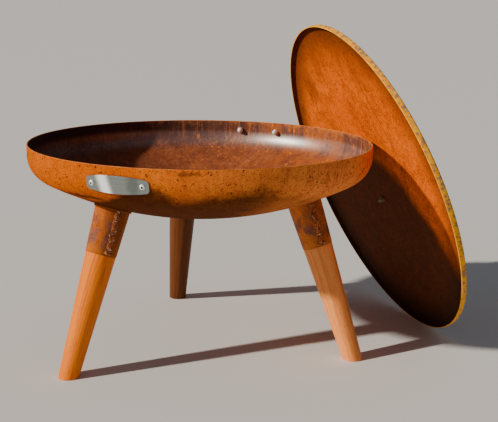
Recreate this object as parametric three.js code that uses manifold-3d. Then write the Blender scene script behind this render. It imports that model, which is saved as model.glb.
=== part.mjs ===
// Round fire bowl on three splayed wooden legs, with its flat lid leaning against the rim.
// Millimetres, +Z up. The lid leans towards +X, and the origin is on the ground under the middle
// of the part's box.
import * as THREE from "three";
import { mergeVertices } from "three/addons/utils/BufferGeometryUtils.js";
import Module from "manifold-3d";

// ---- Driving dimensions ----------------------------------------------------------------------

const CLEARANCE = 0.3; // gap between pieces that touch

// Fire bowl: a dished end with a short straight rim, a tight knuckle and a shallow crown.
const BOWL_RADIUS = 400;
const BOWL_WALL = 3;
const RIM_HEIGHT = 490;
const RIM_STRAIGHT = 25;
const KNUCKLE_RADIUS = 60;
const CROWN_RADIUS = 800;

// Legs: turned, tapered and splayed, so that each one stands square to the bowl's underside.
const LEG_AZIMUTH = 84;
const LEG_COUNT = 3;
const LEG_CIRCLE_RADIUS = 252; // where a leg's axis meets the bowl's outer surface
const LEG_SPLAY = 19;
const LEG_FOOT_DIAMETER = 44.5;
const LEG_TOP_DIAMETER = 68; // at the shoulder under the socket

// Sockets: rolled tapered sleeves welded under the bowl, open at the bottom.
const SOCKET_LENGTH = 104; // along the leg's axis, from the bowl to the mouth
const SOCKET_MOUTH_DIAMETER = 69.6;
const SOCKET_TOP_DIAMETER = 78.4;
const SOCKET_WALL = 2.5;

// Joint inside the socket: a tenon, a hanger stud and a threaded plate.
const TENON_LENGTH = 60;
const TENON_PLAY = 0.5; // radial, so that the tenon slides in by hand
const STUD_DIAMETER = 10;
const STUD_IN_LEG = 42;
const SOCKET_PLATE_THICKNESS = 8;
const STUD_PAST_PLATE = 5;
const THREAD_CLEARANCE = 0.3; // radial, on every threaded or drilled hole

// Badge plate: rolled to the wall, wide in the middle, on two screws.
const BADGE_AZIMUTH = 229.1;
const BADGE_LENGTH = 143;
const BADGE_END_HEIGHT = 26.5;
const BADGE_MIDDLE_HEIGHT = 39.5;
const BADGE_CORNER_RADIUS = 7;
const BADGE_CORNER_RISE = 0.2; // of the corner radius, from the end's height to the bowed edge
const BADGE_THICKNESS = 2;
const BADGE_DROP = 37.3; // from the rim down to the screws
const BADGE_SCREW_PITCH = 115;
const BADGE_SCREW = { shank: 6, head: 12, headHeight: 3.4 };
const BADGE_NUT = { flats: 10, height: 5, overall: 12, bore: 6, boreDepth: 8 };

// Handles: round bar with threaded ends, held by domed nuts.
const HANDLE_NUT = { flats: 13, height: 6.5, overall: 15, bore: 8, boreDepth: 11 };
const NUT_DOME_SHARE = 0.48; // the dome's radius against the width across flats
const HANDLE_BAR_DIAMETER = 12;
const HANDLE_STUD_DIAMETER = 8;
const HANDLE_BEND = 16; // to the bar's centre line
const REAR_HANDLE_AZIMUTH = 51.3;
const REAR_HANDLE_PITCH = 102;
const REAR_HANDLE_REACH = 46; // from the wall to the bar's centre line
const REAR_HANDLE_DROP = 24;
const LID_HANDLE_PITCH = 118;
const LID_HANDLE_REACH = 44;
const LID_HANDLE_TURN = -31.5; // about the lid's own axis

// Lid: a flat disc with a turned flange that drops over the rim of the bowl.
const LID_RADIUS = 406;
const LID_SHEET = 3;
const LID_FLANGE = 15;
const LID_BEND_RADIUS = 5;
const LID_LEAN = 68.3; // the disc's angle from the ground

// Facets of each full circle.
const BOWL_FACETS = 96;
const LEG_FACETS = 32;
const SMALL_FACETS = 20;
const ARC_STEPS = 2; // half the number of facets in an arc of an outline
const BAR_STEPS = 26; // along a handle
const BAR_SEGMENTS = 5; // in a half of a handle's round section
const BADGE_SEGMENTS = 8; // in each curved edge of the badge

// ---- Solids ----------------------------------------------------------------------------------

const wasm = await Module();
wasm.setup();

const degrees = THREE.MathUtils.degToRad;

function toSolid(geometry) {
  const bare = geometry.index ? geometry.toNonIndexed() : geometry.clone();
  bare.deleteAttribute("normal");
  bare.deleteAttribute("uv");
  const merged = mergeVertices(bare, 1e-4);
  return new wasm.Manifold(
    new wasm.Mesh({
      numProp: 3,
      vertProperties: merged.attributes.position.array,
      triVerts: new Uint32Array(merged.index.array),
    }),
  );
}

function toGeometry(solid) {
  const mesh = solid.getMesh();
  const geometry = new THREE.BufferGeometry();
  geometry.setAttribute("position", new THREE.BufferAttribute(mesh.vertProperties, 3));
  geometry.setIndex(new THREE.BufferAttribute(mesh.triVerts, 1));
  geometry.computeVertexNormals();
  return geometry;
}

// Turns a half section, given as points (radius, height), about the Z axis.
function revolved(outline, facets) {
  const geometry = new THREE.LatheGeometry(outline, facets);
  geometry.rotateX(Math.PI / 2);
  return geometry;
}

// A cylinder along Z from one height to another.
function pin(radius, low, high, facets = SMALL_FACETS) {
  const geometry = new THREE.CylinderGeometry(radius, radius, high - low, facets);
  geometry.rotateX(Math.PI / 2);
  geometry.translate(0, 0, (low + high) / 2);
  return geometry;
}

function points(...pairs) {
  return pairs.map(([radius, height]) => new THREE.Vector2(radius, height));
}

// A named mesh of a solid, in the frame of the group it is added to.
function addPiece(group, name, solid, material) {
  const mesh = new THREE.Mesh(toGeometry(solid), material);
  mesh.name = name;
  group.add(mesh);
}

// A copy of a geometry from the frame that holds a group, moved into the group's own frame.
function seenFrom(group, geometry) {
  group.updateMatrix();
  return geometry.clone().applyMatrix4(group.matrix.clone().invert());
}

// The other way: from the group's own frame into the frame that holds it.
function placedBy(group, geometry) {
  group.updateMatrix();
  return geometry.clone().applyMatrix4(group.matrix);
}

// ---- Materials -------------------------------------------------------------------------------

function finish(color, roughness, metalness) {
  return new THREE.MeshStandardMaterial({ color, roughness, metalness });
}

const bowlRust = finish(0xb0581f, 0.85, 0.25);
const socketRust = finish(0x9a4f2a, 0.75, 0.3);
const lidRust = finish(0x9c5226, 0.88, 0.2);
const handleSteel = finish(0x6d4330, 0.7, 0.4);
const legWood = finish(0xb8713f, 0.55, 0);
const plainSteel = finish(0x8d8f92, 0.4, 0.9);
const stainless = finish(0xc9ccd0, 0.3, 1);

// ---- Fire bowl -------------------------------------------------------------------------------

const knuckleCentre = BOWL_RADIUS - KNUCKLE_RADIUS;
const tangentHeight = RIM_HEIGHT - RIM_STRAIGHT;
const crownCentre = tangentHeight + Math.sqrt((CROWN_RADIUS - KNUCKLE_RADIUS) ** 2 - knuckleCentre ** 2);
const meetingAngle = Math.atan2(tangentHeight - crownCentre, knuckleCentre);
const meetingRadius = CROWN_RADIUS * Math.cos(meetingAngle);

// A flat facet stands in from the arc it stands for by up to this much.
const facetDepth = Math.max(
  KNUCKLE_RADIUS * (1 - Math.cos(meetingAngle / (4 * ARC_STEPS))),
  BOWL_RADIUS * (1 - Math.cos(Math.PI / BOWL_FACETS)),
);

// The bowl's surface at a depth inside its outer face, from the rim down to the axis.
function dishOutline(inset) {
  const path = new THREE.Path();
  path.moveTo(BOWL_RADIUS - inset, RIM_HEIGHT);
  path.lineTo(BOWL_RADIUS - inset, tangentHeight);
  path.absarc(knuckleCentre, tangentHeight, KNUCKLE_RADIUS - inset, 0, meetingAngle, true);
  path.absarc(0, crownCentre, CROWN_RADIUS - inset, meetingAngle, -Math.PI / 2, true);
  return path.getPoints(ARC_STEPS);
}

// Height of the outer face at a radius.
function undersideHeight(radius) {
  if (radius < meetingRadius) return crownCentre - Math.sqrt(CROWN_RADIUS ** 2 - radius ** 2);
  return tangentHeight - Math.sqrt(KNUCKLE_RADIUS ** 2 - (radius - knuckleCentre) ** 2);
}

// Radius of the wall near the rim, at a distance down from it and a depth inside its outer face.
function wallRadius(drop, inset) {
  const past = Math.max(drop - RIM_STRAIGHT, 0);
  return knuckleCentre + Math.sqrt((KNUCKLE_RADIUS - inset) ** 2 - past ** 2);
}

// How far the wall leans from upright at a distance down from the rim.
function wallLean(drop) {
  return Math.asin(Math.max(drop - RIM_STRAIGHT, 0) / KNUCKLE_RADIUS);
}

// ---- Fasteners -------------------------------------------------------------------------------
// Each stands along its own Z, which points out of the sheet, with z = 0 on the outer face.

// A domed nut below a seat, with a blind bore that opens at the seat.
function domedNut(size, seat) {
  const corners = size.flats / Math.sqrt(3);
  const domeRadius = size.flats * NUT_DOME_SHARE;
  const hexagon = new THREE.CylinderGeometry(corners, corners, size.height, 6);
  hexagon.rotateX(Math.PI / 2);
  hexagon.translate(0, 0, seat - size.height / 2);
  const domeHeight = size.overall - size.height;
  const dome = new THREE.Path();
  dome.moveTo(0, seat - size.height / 2);
  dome.lineTo(domeRadius, seat - size.height / 2);
  dome.lineTo(domeRadius, seat - size.height);
  dome.absellipse(0, seat - size.height, domeRadius, domeHeight, 0, -Math.PI / 2, true);
  const cap = revolved(dome.getPoints(ARC_STEPS).reverse(), SMALL_FACETS);
  const bore = pin(size.bore / 2 + THREAD_CLEARANCE, seat - size.boreDepth, seat + 1);
  return toSolid(hexagon).add(toSolid(cap)).subtract(toSolid(bore));
}

// A button-head screw whose head rests on a seat and whose shank ends at a depth.
function buttonScrew(size, seat, tip) {
  const outline = new THREE.Path();
  outline.moveTo(0, tip);
  outline.lineTo(size.shank / 2, tip);
  outline.lineTo(size.shank / 2, seat);
  outline.lineTo(size.head / 2, seat);
  outline.absellipse(0, seat, size.head / 2, size.headHeight, 0, Math.PI / 2, false);
  return toSolid(revolved(outline.getPoints(ARC_STEPS), SMALL_FACETS));
}

// Round bar swept along a list of curves that join end to end.
function sweptBar(curves, radius, steps) {
  const route = new THREE.CurvePath();
  curves.forEach((curve) => route.add(curve));
  const section = new THREE.Shape();
  section.absarc(0, 0, radius, 0, 2 * Math.PI);
  const options = { extrudePath: route, steps, curveSegments: BAR_SEGMENTS, bevelEnabled: false };
  return toSolid(new THREE.ExtrudeGeometry(section, options));
}

// ---- Assembly --------------------------------------------------------------------------------

const model = new THREE.Group();

// Frames of the things that are bolted on, each with Z pointing out of the sheet it sits on.
function wallStation(azimuth, drop) {
  const station = new THREE.Group();
  const outward = degrees(azimuth);
  const radius = wallRadius(drop, 0);
  station.position.set(radius * Math.cos(outward), radius * Math.sin(outward), RIM_HEIGHT - drop);
  station.rotation.order = "ZYX";
  station.rotation.z = outward;
  station.rotation.y = Math.PI / 2 + wallLean(drop);
  return station;
}

// Half the angle at the bowl's axis between two holes in the wall that are a pitch apart.
function halfAngle(pitch, drop) {
  return THREE.MathUtils.radToDeg(Math.asin(pitch / 2 / wallRadius(drop, 0)));
}

function pairOfStations(azimuth, pitch, drop) {
  const spread = halfAngle(pitch, drop);
  return [-spread, spread].map((turn) => wallStation(azimuth + turn, drop));
}

const badgeStations = pairOfStations(BADGE_AZIMUTH, BADGE_SCREW_PITCH, BADGE_DROP);
const rearStations = pairOfStations(REAR_HANDLE_AZIMUTH, REAR_HANDLE_PITCH, REAR_HANDLE_DROP);
badgeStations.concat(rearStations).forEach((station) => model.add(station));

// A nut of a given size can't reach closer to the curved inner wall than this depth.
function nutSeat(size) {
  const corners = size.flats / Math.sqrt(3);
  const inner = KNUCKLE_RADIUS - BOWL_WALL;
  const curve = inner - Math.sqrt(inner ** 2 - corners ** 2);
  return -BOWL_WALL - CLEARANCE - facetDepth - curve;
}

function makeBowl() {
  const outside = dishOutline(0).reverse();
  const inside = dishOutline(BOWL_WALL);
  let bowl = toSolid(revolved(outside.concat(inside), BOWL_FACETS));
  const drill = (station, diameter) => {
    const hole = pin(diameter / 2 + THREAD_CLEARANCE, -3 * BOWL_WALL, 3 * BOWL_WALL);
    bowl = bowl.subtract(toSolid(placedBy(station, hole)));
  };
  badgeStations.forEach((station) => drill(station, BADGE_SCREW.shank));
  rearStations.forEach((station) => drill(station, HANDLE_STUD_DIAMETER));
  addPiece(model, "fire_bowl", bowl, bowlRust);
}

// ---- Legs and their sockets ------------------------------------------------------------------

const socketHeight = undersideHeight(LEG_CIRCLE_RADIUS);
const splay = degrees(LEG_SPLAY);
const footRadius = LEG_CIRCLE_RADIUS + socketHeight * Math.tan(splay);
const bowlFromFoot = socketHeight / Math.cos(splay); // along the leg's axis
const mouthFromFoot = bowlFromFoot - SOCKET_LENGTH;
const tenonRadius = SOCKET_MOUTH_DIAMETER / 2 - SOCKET_WALL - TENON_PLAY;
const tenonTop = mouthFromFoot + TENON_LENGTH;
const plateLow = tenonTop + 2 * CLEARANCE;
const plateHigh = plateLow + SOCKET_PLATE_THICKNESS;
const socketOverrun = SOCKET_TOP_DIAMETER / 2; // cut away again where the bowl is
const socketGrowth = (SOCKET_TOP_DIAMETER - SOCKET_MOUTH_DIAMETER) / 2 / SOCKET_LENGTH;

// Outer radius of the socket at a distance from the foot along the leg.
function socketRadius(fromFoot) {
  return SOCKET_MOUTH_DIAMETER / 2 + (fromFoot - mouthFromFoot) * socketGrowth;
}

// The frame of one leg: Z runs up its axis from the middle of the foot.
function legFrame() {
  const frame = new THREE.Group();
  frame.position.x = footRadius;
  frame.rotation.y = -splay;
  return frame;
}

// The bowl as a solid block, one clearance larger than its outer face.
function bowlBlock() {
  const outline = dishOutline(-CLEARANCE).reverse();
  const top = new THREE.Vector2(0, RIM_HEIGHT);
  return revolved([...outline, top], BOWL_FACETS);
}

function makeSocket(frame) {
  const top = bowlFromFoot + socketOverrun;
  const low = socketRadius(mouthFromFoot);
  const high = socketRadius(top);
  const outline = points(
    [low - SOCKET_WALL, mouthFromFoot],
    [low, mouthFromFoot],
    [high, top],
    [high - SOCKET_WALL, top],
    [low - SOCKET_WALL, mouthFromFoot],
  );
  const sleeve = toSolid(revolved(outline, LEG_FACETS));
  return sleeve.subtract(toSolid(seenFrom(frame, bowlBlock())));
}

function makeSocketPlate() {
  const hole = STUD_DIAMETER / 2 + THREAD_CLEARANCE;
  const low = socketRadius(plateLow) - SOCKET_WALL - CLEARANCE;
  const high = socketRadius(plateHigh) - SOCKET_WALL - CLEARANCE;
  const outline = points(
    [hole, plateLow],
    [low, plateLow],
    [high, plateHigh],
    [hole, plateHigh],
    [hole, plateLow],
  );
  return toSolid(revolved(outline, LEG_FACETS));
}

function makeLeg(frame) {
  const shoulder = mouthFromFoot - CLEARANCE;
  const footRound = LEG_FOOT_DIAMETER / 2;
  const topRound = LEG_TOP_DIAMETER / 2;
  const spare = LEG_FOOT_DIAMETER; // runs below the ground and is cut off level with it
  const growth = (topRound - footRound) / shoulder;
  const outline = points(
    [0, -spare],
    [footRound - spare * growth, -spare],
    [topRound, shoulder],
    [tenonRadius, shoulder],
    [tenonRadius, tenonTop],
    [0, tenonTop],
  );
  const floor = new THREE.BoxGeometry(4 * spare, 4 * spare, 2 * spare);
  floor.translate(footRadius, 0, -spare);
  const bore = pin(STUD_DIAMETER / 2 + THREAD_CLEARANCE, tenonTop - STUD_IN_LEG, tenonTop + 1);
  return toSolid(revolved(outline, LEG_FACETS))
    .subtract(toSolid(seenFrom(frame, floor)))
    .subtract(toSolid(bore));
}

function makeStud() {
  const low = tenonTop - STUD_IN_LEG + CLEARANCE;
  return toSolid(pin(STUD_DIAMETER / 2, low, plateHigh + STUD_PAST_PLATE));
}

function makeLegs() {
  for (let n = 1; n <= LEG_COUNT; n += 1) {
    const station = new THREE.Group();
    station.rotation.z = degrees(LEG_AZIMUTH + ((n - 1) * 360) / LEG_COUNT);
    const frame = legFrame();
    station.add(frame);
    model.add(station);
    addPiece(frame, `leg_socket_${n}`, makeSocket(frame), socketRust);
    addPiece(frame, `socket_plate_${n}`, makeSocketPlate(), plainSteel);
    addPiece(frame, `leg_${n}`, makeLeg(frame), legWood);
    addPiece(frame, `leg_stud_${n}`, makeStud(), plainSteel);
  }
}

// ---- Badge plate -----------------------------------------------------------------------------

// The flat outline: length along X, height along Y, with bowed long edges and round corners.
function badgeOutline() {
  const half = BADGE_LENGTH / 2;
  const end = BADGE_END_HEIGHT / 2;
  const bow = BADGE_MIDDLE_HEIGHT - end; // control height that brings the edge to the middle height
  const round = BADGE_CORNER_RADIUS;
  const rise = round * BADGE_CORNER_RISE;
  const shape = new THREE.Shape();
  shape.moveTo(half, end - round);
  shape.quadraticCurveTo(half, end, half - round, end + rise);
  shape.quadraticCurveTo(0, bow, round - half, end + rise);
  shape.quadraticCurveTo(-half, end, -half, end - round);
  shape.lineTo(-half, round - end);
  shape.quadraticCurveTo(-half, -end, round - half, -end - rise);
  shape.quadraticCurveTo(0, -bow, half - round, -end - rise);
  shape.quadraticCurveTo(half, -end, half, round - end);
  shape.closePath();
  return shape;
}

// A ring of the plate's thickness, leaning as the wall does at the screws, cut to the outline.
function makeBadge() {
  const lean = wallLean(BADGE_DROP);
  const middle = new THREE.Vector2(wallRadius(BADGE_DROP, 0), RIM_HEIGHT - BADGE_DROP);
  const along = new THREE.Vector2(Math.sin(lean), Math.cos(lean)).multiplyScalar(BADGE_MIDDLE_HEIGHT);
  const outward = new THREE.Vector2(Math.cos(lean), -Math.sin(lean));
  const corner = (side, depth) => {
    return middle.clone().addScaledVector(along, side).addScaledVector(outward, depth);
  };
  const outer = CLEARANCE + BADGE_THICKNESS;
  const ring = [corner(-1, CLEARANCE), corner(-1, outer), corner(1, outer), corner(1, CLEARANCE)];
  const shell = toSolid(revolved([...ring, ring[0]], BOWL_FACETS));

  const station = wallStation(BADGE_AZIMUTH, BADGE_DROP);
  const reach = BADGE_LENGTH / 2;
  const options = { depth: 2 * reach, curveSegments: BADGE_SEGMENTS, bevelEnabled: false };
  const blank = new THREE.ExtrudeGeometry(badgeOutline(), options);
  blank.translate(0, 0, -reach);
  blank.rotateZ(Math.PI / 2);
  let badge = shell.intersect(toSolid(placedBy(station, blank)));
  badgeStations.forEach((hole) => {
    const drill = pin(BADGE_SCREW.shank / 2 + THREAD_CLEARANCE, -4 * outer, 4 * outer);
    badge = badge.subtract(toSolid(placedBy(hole, drill)));
  });
  addPiece(model, "badge_plate", badge, stainless);
}

function makeBadgeFasteners() {
  const seat = nutSeat(BADGE_NUT);
  const tip = seat - BADGE_NUT.boreDepth + CLEARANCE;
  // A screw's flat head rests on the curved plate where the plate stands highest.
  const headSeat = 2 * CLEARANCE + BADGE_THICKNESS;
  badgeStations.forEach((station, index) => {
    addPiece(station, `badge_screw_${index + 1}`, buttonScrew(BADGE_SCREW, headSeat, tip), stainless);
    addPiece(station, `badge_nut_${index + 1}`, domedNut(BADGE_NUT, seat), stainless);
  });
}

// ---- Handles ---------------------------------------------------------------------------------

const handleTip = (seat) => seat - HANDLE_NUT.boreDepth + CLEARANCE;
const handleShoulder = 2 * CLEARANCE; // the bar's end stays this far off the sheet

// The rear handle follows the wall: two radial ends and a grip concentric with the bowl.
function makeRearHandle() {
  const turn = degrees(halfAngle(REAR_HANDLE_PITCH, REAR_HANDLE_DROP));
  const near = wallRadius(REAR_HANDLE_DROP, 0) + handleShoulder;
  const far = wallRadius(REAR_HANDLE_DROP, 0) + REAR_HANDLE_REACH;
  const bend = HANDLE_BEND / far;
  const at = (radius, angle) => new THREE.Vector3(radius * Math.cos(angle), radius * Math.sin(angle), 0);
  const grip = [-1, -0.5, 0, 0.5, 1].map((share) => at(far, share * (turn - bend)));
  const curves = [
    new THREE.LineCurve3(at(near, -turn), at(far - HANDLE_BEND, -turn)),
    new THREE.QuadraticBezierCurve3(at(far - HANDLE_BEND, -turn), at(far, -turn), grip[0]),
    new THREE.CatmullRomCurve3(grip),
    new THREE.QuadraticBezierCurve3(grip.at(-1), at(far, turn), at(far - HANDLE_BEND, turn)),
    new THREE.LineCurve3(at(far - HANDLE_BEND, turn), at(near, turn)),
  ];
  const bar = sweptBar(curves, HANDLE_BAR_DIAMETER / 2, BAR_STEPS);
  const placing = new THREE.Group();
  placing.position.z = RIM_HEIGHT - REAR_HANDLE_DROP;
  placing.rotation.z = degrees(REAR_HANDLE_AZIMUTH);
  const seat = nutSeat(HANDLE_NUT);
  let handle = toSolid(placedBy(placing, toGeometry(bar)));
  rearStations.forEach((station, index) => {
    const stud = pin(HANDLE_STUD_DIAMETER / 2, handleTip(seat), HANDLE_BAR_DIAMETER);
    handle = handle.add(toSolid(placedBy(station, stud)));
    addPiece(station, `rear_handle_nut_${index + 1}`, domedNut(HANDLE_NUT, seat), stainless);
  });
  addPiece(model, "rear_handle", handle, handleSteel);
}

// ---- Lid -------------------------------------------------------------------------------------

// The lid's frame: Z is its outer normal, X runs down its slope, and z = 0 is the outer face.
// It stands on the free edge of its flange, with its inner face one clearance off the rim.
function lidFrame() {
  const frame = new THREE.Group();
  const lean = degrees(LID_LEAN);
  const height = LID_RADIUS * Math.sin(lean) + LID_FLANGE * Math.cos(lean);
  const offRim = (LID_SHEET + CLEARANCE) / Math.sin(lean);
  frame.position.set(BOWL_RADIUS + (RIM_HEIGHT - height) / Math.tan(lean) + offRim, 0, height);
  frame.rotation.y = lean;
  return frame;
}

function lidOutline() {
  const inner = LID_RADIUS - LID_SHEET;
  const innerBend = LID_BEND_RADIUS - LID_SHEET;
  const centre = LID_RADIUS - LID_BEND_RADIUS;
  const path = new THREE.Path();
  path.moveTo(0, 0);
  path.lineTo(centre, 0);
  path.absarc(centre, -LID_BEND_RADIUS, LID_BEND_RADIUS, Math.PI / 2, 0, true);
  path.lineTo(LID_RADIUS, -LID_FLANGE);
  path.lineTo(inner, -LID_FLANGE);
  path.absarc(centre, -LID_BEND_RADIUS, innerBend, 0, Math.PI / 2, false);
  path.lineTo(0, -LID_SHEET);
  return path.getPoints(ARC_STEPS).reverse();
}

function makeLid() {
  const frame = lidFrame();
  model.add(frame);
  const turn = degrees(LID_HANDLE_TURN);
  const half = LID_HANDLE_PITCH / 2;
  const ends = [-half, half].map((reach) => [reach * Math.cos(turn), reach * Math.sin(turn)]);

  let lid = toSolid(revolved(lidOutline(), BOWL_FACETS));
  ends.forEach(([x, y]) => {
    const hole = pin(HANDLE_STUD_DIAMETER / 2 + THREAD_CLEARANCE, -2 * LID_SHEET, LID_SHEET);
    lid = lid.subtract(toSolid(hole.translate(x, y, 0)));
  });
  addPiece(frame, "lid", lid, lidRust);

  const at = (reach, rise) => new THREE.Vector3(reach, 0, rise);
  const high = LID_HANDLE_REACH;
  const low = high - HANDLE_BEND;
  const inward = half - HANDLE_BEND;
  const curves = [
    new THREE.LineCurve3(at(-half, handleShoulder), at(-half, low)),
    new THREE.QuadraticBezierCurve3(at(-half, low), at(-half, high), at(-inward, high)),
    new THREE.LineCurve3(at(-inward, high), at(inward, high)),
    new THREE.QuadraticBezierCurve3(at(inward, high), at(half, high), at(half, low)),
    new THREE.LineCurve3(at(half, low), at(half, handleShoulder)),
  ];
  const seat = -LID_SHEET - CLEARANCE;
  const bar = toGeometry(sweptBar(curves, HANDLE_BAR_DIAMETER / 2, BAR_STEPS)).rotateZ(turn);
  let handle = toSolid(bar);
  ends.forEach(([x, y], index) => {
    const stud = pin(HANDLE_STUD_DIAMETER / 2, handleTip(seat), HANDLE_BAR_DIAMETER);
    handle = handle.add(toSolid(stud.translate(x, y, 0)));
    const nut = toGeometry(domedNut(HANDLE_NUT, seat)).translate(x, y, 0);
    addPiece(frame, `lid_handle_nut_${index + 1}`, toSolid(nut), stainless);
  });
  addPiece(frame, "lid_handle", handle, handleSteel);
}

// ---- The part --------------------------------------------------------------------------------

makeBowl();
makeLegs();
makeBadge();
makeBadgeFasteners();
makeRearHandle();
makeLid();

// Bring the middle of the part's box over the origin; the feet and the lid already stand on z = 0.
const middle = new THREE.Box3().setFromObject(model, true).getCenter(new THREE.Vector3());
model.position.set(-middle.x, -middle.y, 0);

const part = new THREE.Group();
part.add(model);

export default part;
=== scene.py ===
# %% [markdown]
# # A fire bowl on three wooden legs
#
# This lesson builds the visible pieces of a garden fire bowl: a dished steel bowl, three turned
# wooden legs in welded sleeves, a small steel badge and a flat lid that leans on the rim. The
# engineering model comes in first as a fixed frame. Every piece made here takes the place of one
# of its nodes and keeps that node's size, so the pieces fit without any moving about.

# %% Load the fixed frame
import math

import bmesh
import bpy
from mathutils import Matrix, Vector, noise


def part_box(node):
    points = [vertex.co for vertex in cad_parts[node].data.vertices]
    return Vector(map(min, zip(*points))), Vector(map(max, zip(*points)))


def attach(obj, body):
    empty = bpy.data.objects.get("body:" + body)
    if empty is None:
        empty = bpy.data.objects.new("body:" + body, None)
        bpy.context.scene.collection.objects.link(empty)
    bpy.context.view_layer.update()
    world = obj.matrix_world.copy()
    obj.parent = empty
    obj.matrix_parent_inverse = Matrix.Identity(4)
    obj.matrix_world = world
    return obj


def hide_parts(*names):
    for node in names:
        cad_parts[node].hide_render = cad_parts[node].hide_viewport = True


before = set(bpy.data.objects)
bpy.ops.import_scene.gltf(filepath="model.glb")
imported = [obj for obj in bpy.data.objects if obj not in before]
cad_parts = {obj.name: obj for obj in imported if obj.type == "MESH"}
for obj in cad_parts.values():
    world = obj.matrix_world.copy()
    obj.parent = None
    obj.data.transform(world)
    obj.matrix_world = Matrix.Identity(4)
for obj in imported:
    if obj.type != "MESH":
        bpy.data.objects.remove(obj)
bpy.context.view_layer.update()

# %% [markdown]
# ## The sizes
#
# A drawing starts with its driving dimensions, and so does this script. They are in millimetres,
# the unit a workshop uses, and each piece is scaled to metres when it is finished. The bowl is a
# dished end: a short straight rim, a tight knuckle and a shallow crown, like the end of a tank.

# %% Driving dimensions, in millimetres
GAP = 0.3

BOWL_RADIUS = 400
BOWL_WALL = 3
RIM_HEIGHT = 490
RIM_STRAIGHT = 25
KNUCKLE_RADIUS = 60
CROWN_RADIUS = 800

LEG_AZIMUTHS = (84, 204, 324)
LEG_CIRCLE_RADIUS = 252
LEG_SPLAY = 19
FOOT_RADIUS = 22.25
LEG_TOP_RADIUS = 34

SOCKET_LENGTH = 104
SOCKET_MOUTH_RADIUS = 34.8
SOCKET_TOP_RADIUS = 39.2
SOCKET_WALL = 2.5
TENON_LENGTH = 60
TENON_PLAY = 0.5
STUD_RADIUS = 5
STUD_IN_LEG = 42
PLATE_THICKNESS = 8

LID_RADIUS = 406
LID_SHEET = 3
LID_FLANGE = 15
LID_BEND_RADIUS = 5
LID_LEAN = 68.3

knuckle_centre = BOWL_RADIUS - KNUCKLE_RADIUS
tangent_height = RIM_HEIGHT - RIM_STRAIGHT
crown_rise = math.sqrt((CROWN_RADIUS - KNUCKLE_RADIUS) ** 2 - knuckle_centre**2)
crown_centre = tangent_height + crown_rise
meeting_angle = math.degrees(math.atan2(-crown_rise, knuckle_centre))
bowl_low, bowl_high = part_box("fire_bowl")
bowl_axis = Vector(((bowl_low.x + bowl_high.x) * 500, (bowl_low.y + bowl_high.y) * 500, 0))
print("the bowl's axis stands at", [round(value, 2) for value in bowl_axis])
print("crown meets knuckle", round(meeting_angle, 2), "degrees from level")

# %% [markdown]
# ## Frames for the pieces
#
# A piece is easiest to shape in a frame of its own, for instance with Z along a leg. A 4 by 4
# matrix then carries it to its place. `turn` and `shift` make the two kinds of step, and the
# at-sign multiplies them, read from the outermost frame inwards.

# %% Frames
MILLIMETRES = Matrix.Scale(0.001, 4)


def turn(degrees, axis):
    return Matrix.Rotation(math.radians(degrees), 4, axis)


def shift(x, y, z):
    return Matrix.Translation((x, y, z))


bowl_frame = Matrix.Translation(bowl_axis)
socket_height = crown_centre - math.sqrt(CROWN_RADIUS**2 - LEG_CIRCLE_RADIUS**2)
splay_cosine = math.cos(math.radians(LEG_SPLAY))
foot_circle = LEG_CIRCLE_RADIUS + socket_height * math.tan(math.radians(LEG_SPLAY))
bowl_from_foot = socket_height / splay_cosine
mouth = bowl_from_foot - SOCKET_LENGTH

leg_frames = [
    bowl_frame @ turn(azimuth, "Z") @ shift(foot_circle, 0, 0) @ turn(-LEG_SPLAY, "Y")
    for azimuth in LEG_AZIMUTHS
]


def wall_radius(drop):
    """Outer radius of the bowl's wall at a distance below the rim."""
    past = max(drop - RIM_STRAIGHT, 0)
    return knuckle_centre + math.sqrt(KNUCKLE_RADIUS**2 - past**2)


def wall_lean(drop):
    return math.degrees(math.asin(max(drop - RIM_STRAIGHT, 0) / KNUCKLE_RADIUS))


def wall_station(azimuth, drop):
    """A frame on the wall, with Z pointing straight out of the sheet."""
    out = shift(wall_radius(drop), 0, RIM_HEIGHT - drop)
    return bowl_frame @ turn(azimuth, "Z") @ out @ turn(90 + wall_lean(drop), "Y")


def pair_of_stations(azimuth, pitch, drop):
    spread = math.degrees(math.asin(pitch / 2 / wall_radius(drop)))
    return [wall_station(azimuth - spread, drop), wall_station(azimuth + spread, drop)]


lean = math.radians(LID_LEAN)
lid_height = LID_RADIUS * math.sin(lean) + LID_FLANGE * math.cos(lean)
lid_clearance = (LID_SHEET + GAP) / math.sin(lean)
lid_reach = BOWL_RADIUS + (RIM_HEIGHT - lid_height) / math.tan(lean) + lid_clearance
lid_frame = bowl_frame @ shift(lid_reach, 0, lid_height) @ turn(LID_LEAN, "Y")
print("feet stand", round(foot_circle, 1), "mm out, and sleeves start", round(mouth, 1), "mm up the legs")

# %% [markdown]
# ## Camera
#
# The camera stands a little above the rim and well back, with a long lens, so the bowl is seen
# as a flat ellipse. Its direction is given by an azimuth, a pitch and a small roll.

# %% Camera
CAMERA_PLACE = Vector((-0.75842, -2.33903, 0.83933))
CAMERA_AZIMUTH, CAMERA_PITCH, CAMERA_ROLL = 71.53, -11.978, 0.7085
CAMERA_LENS = 75.69

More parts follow.
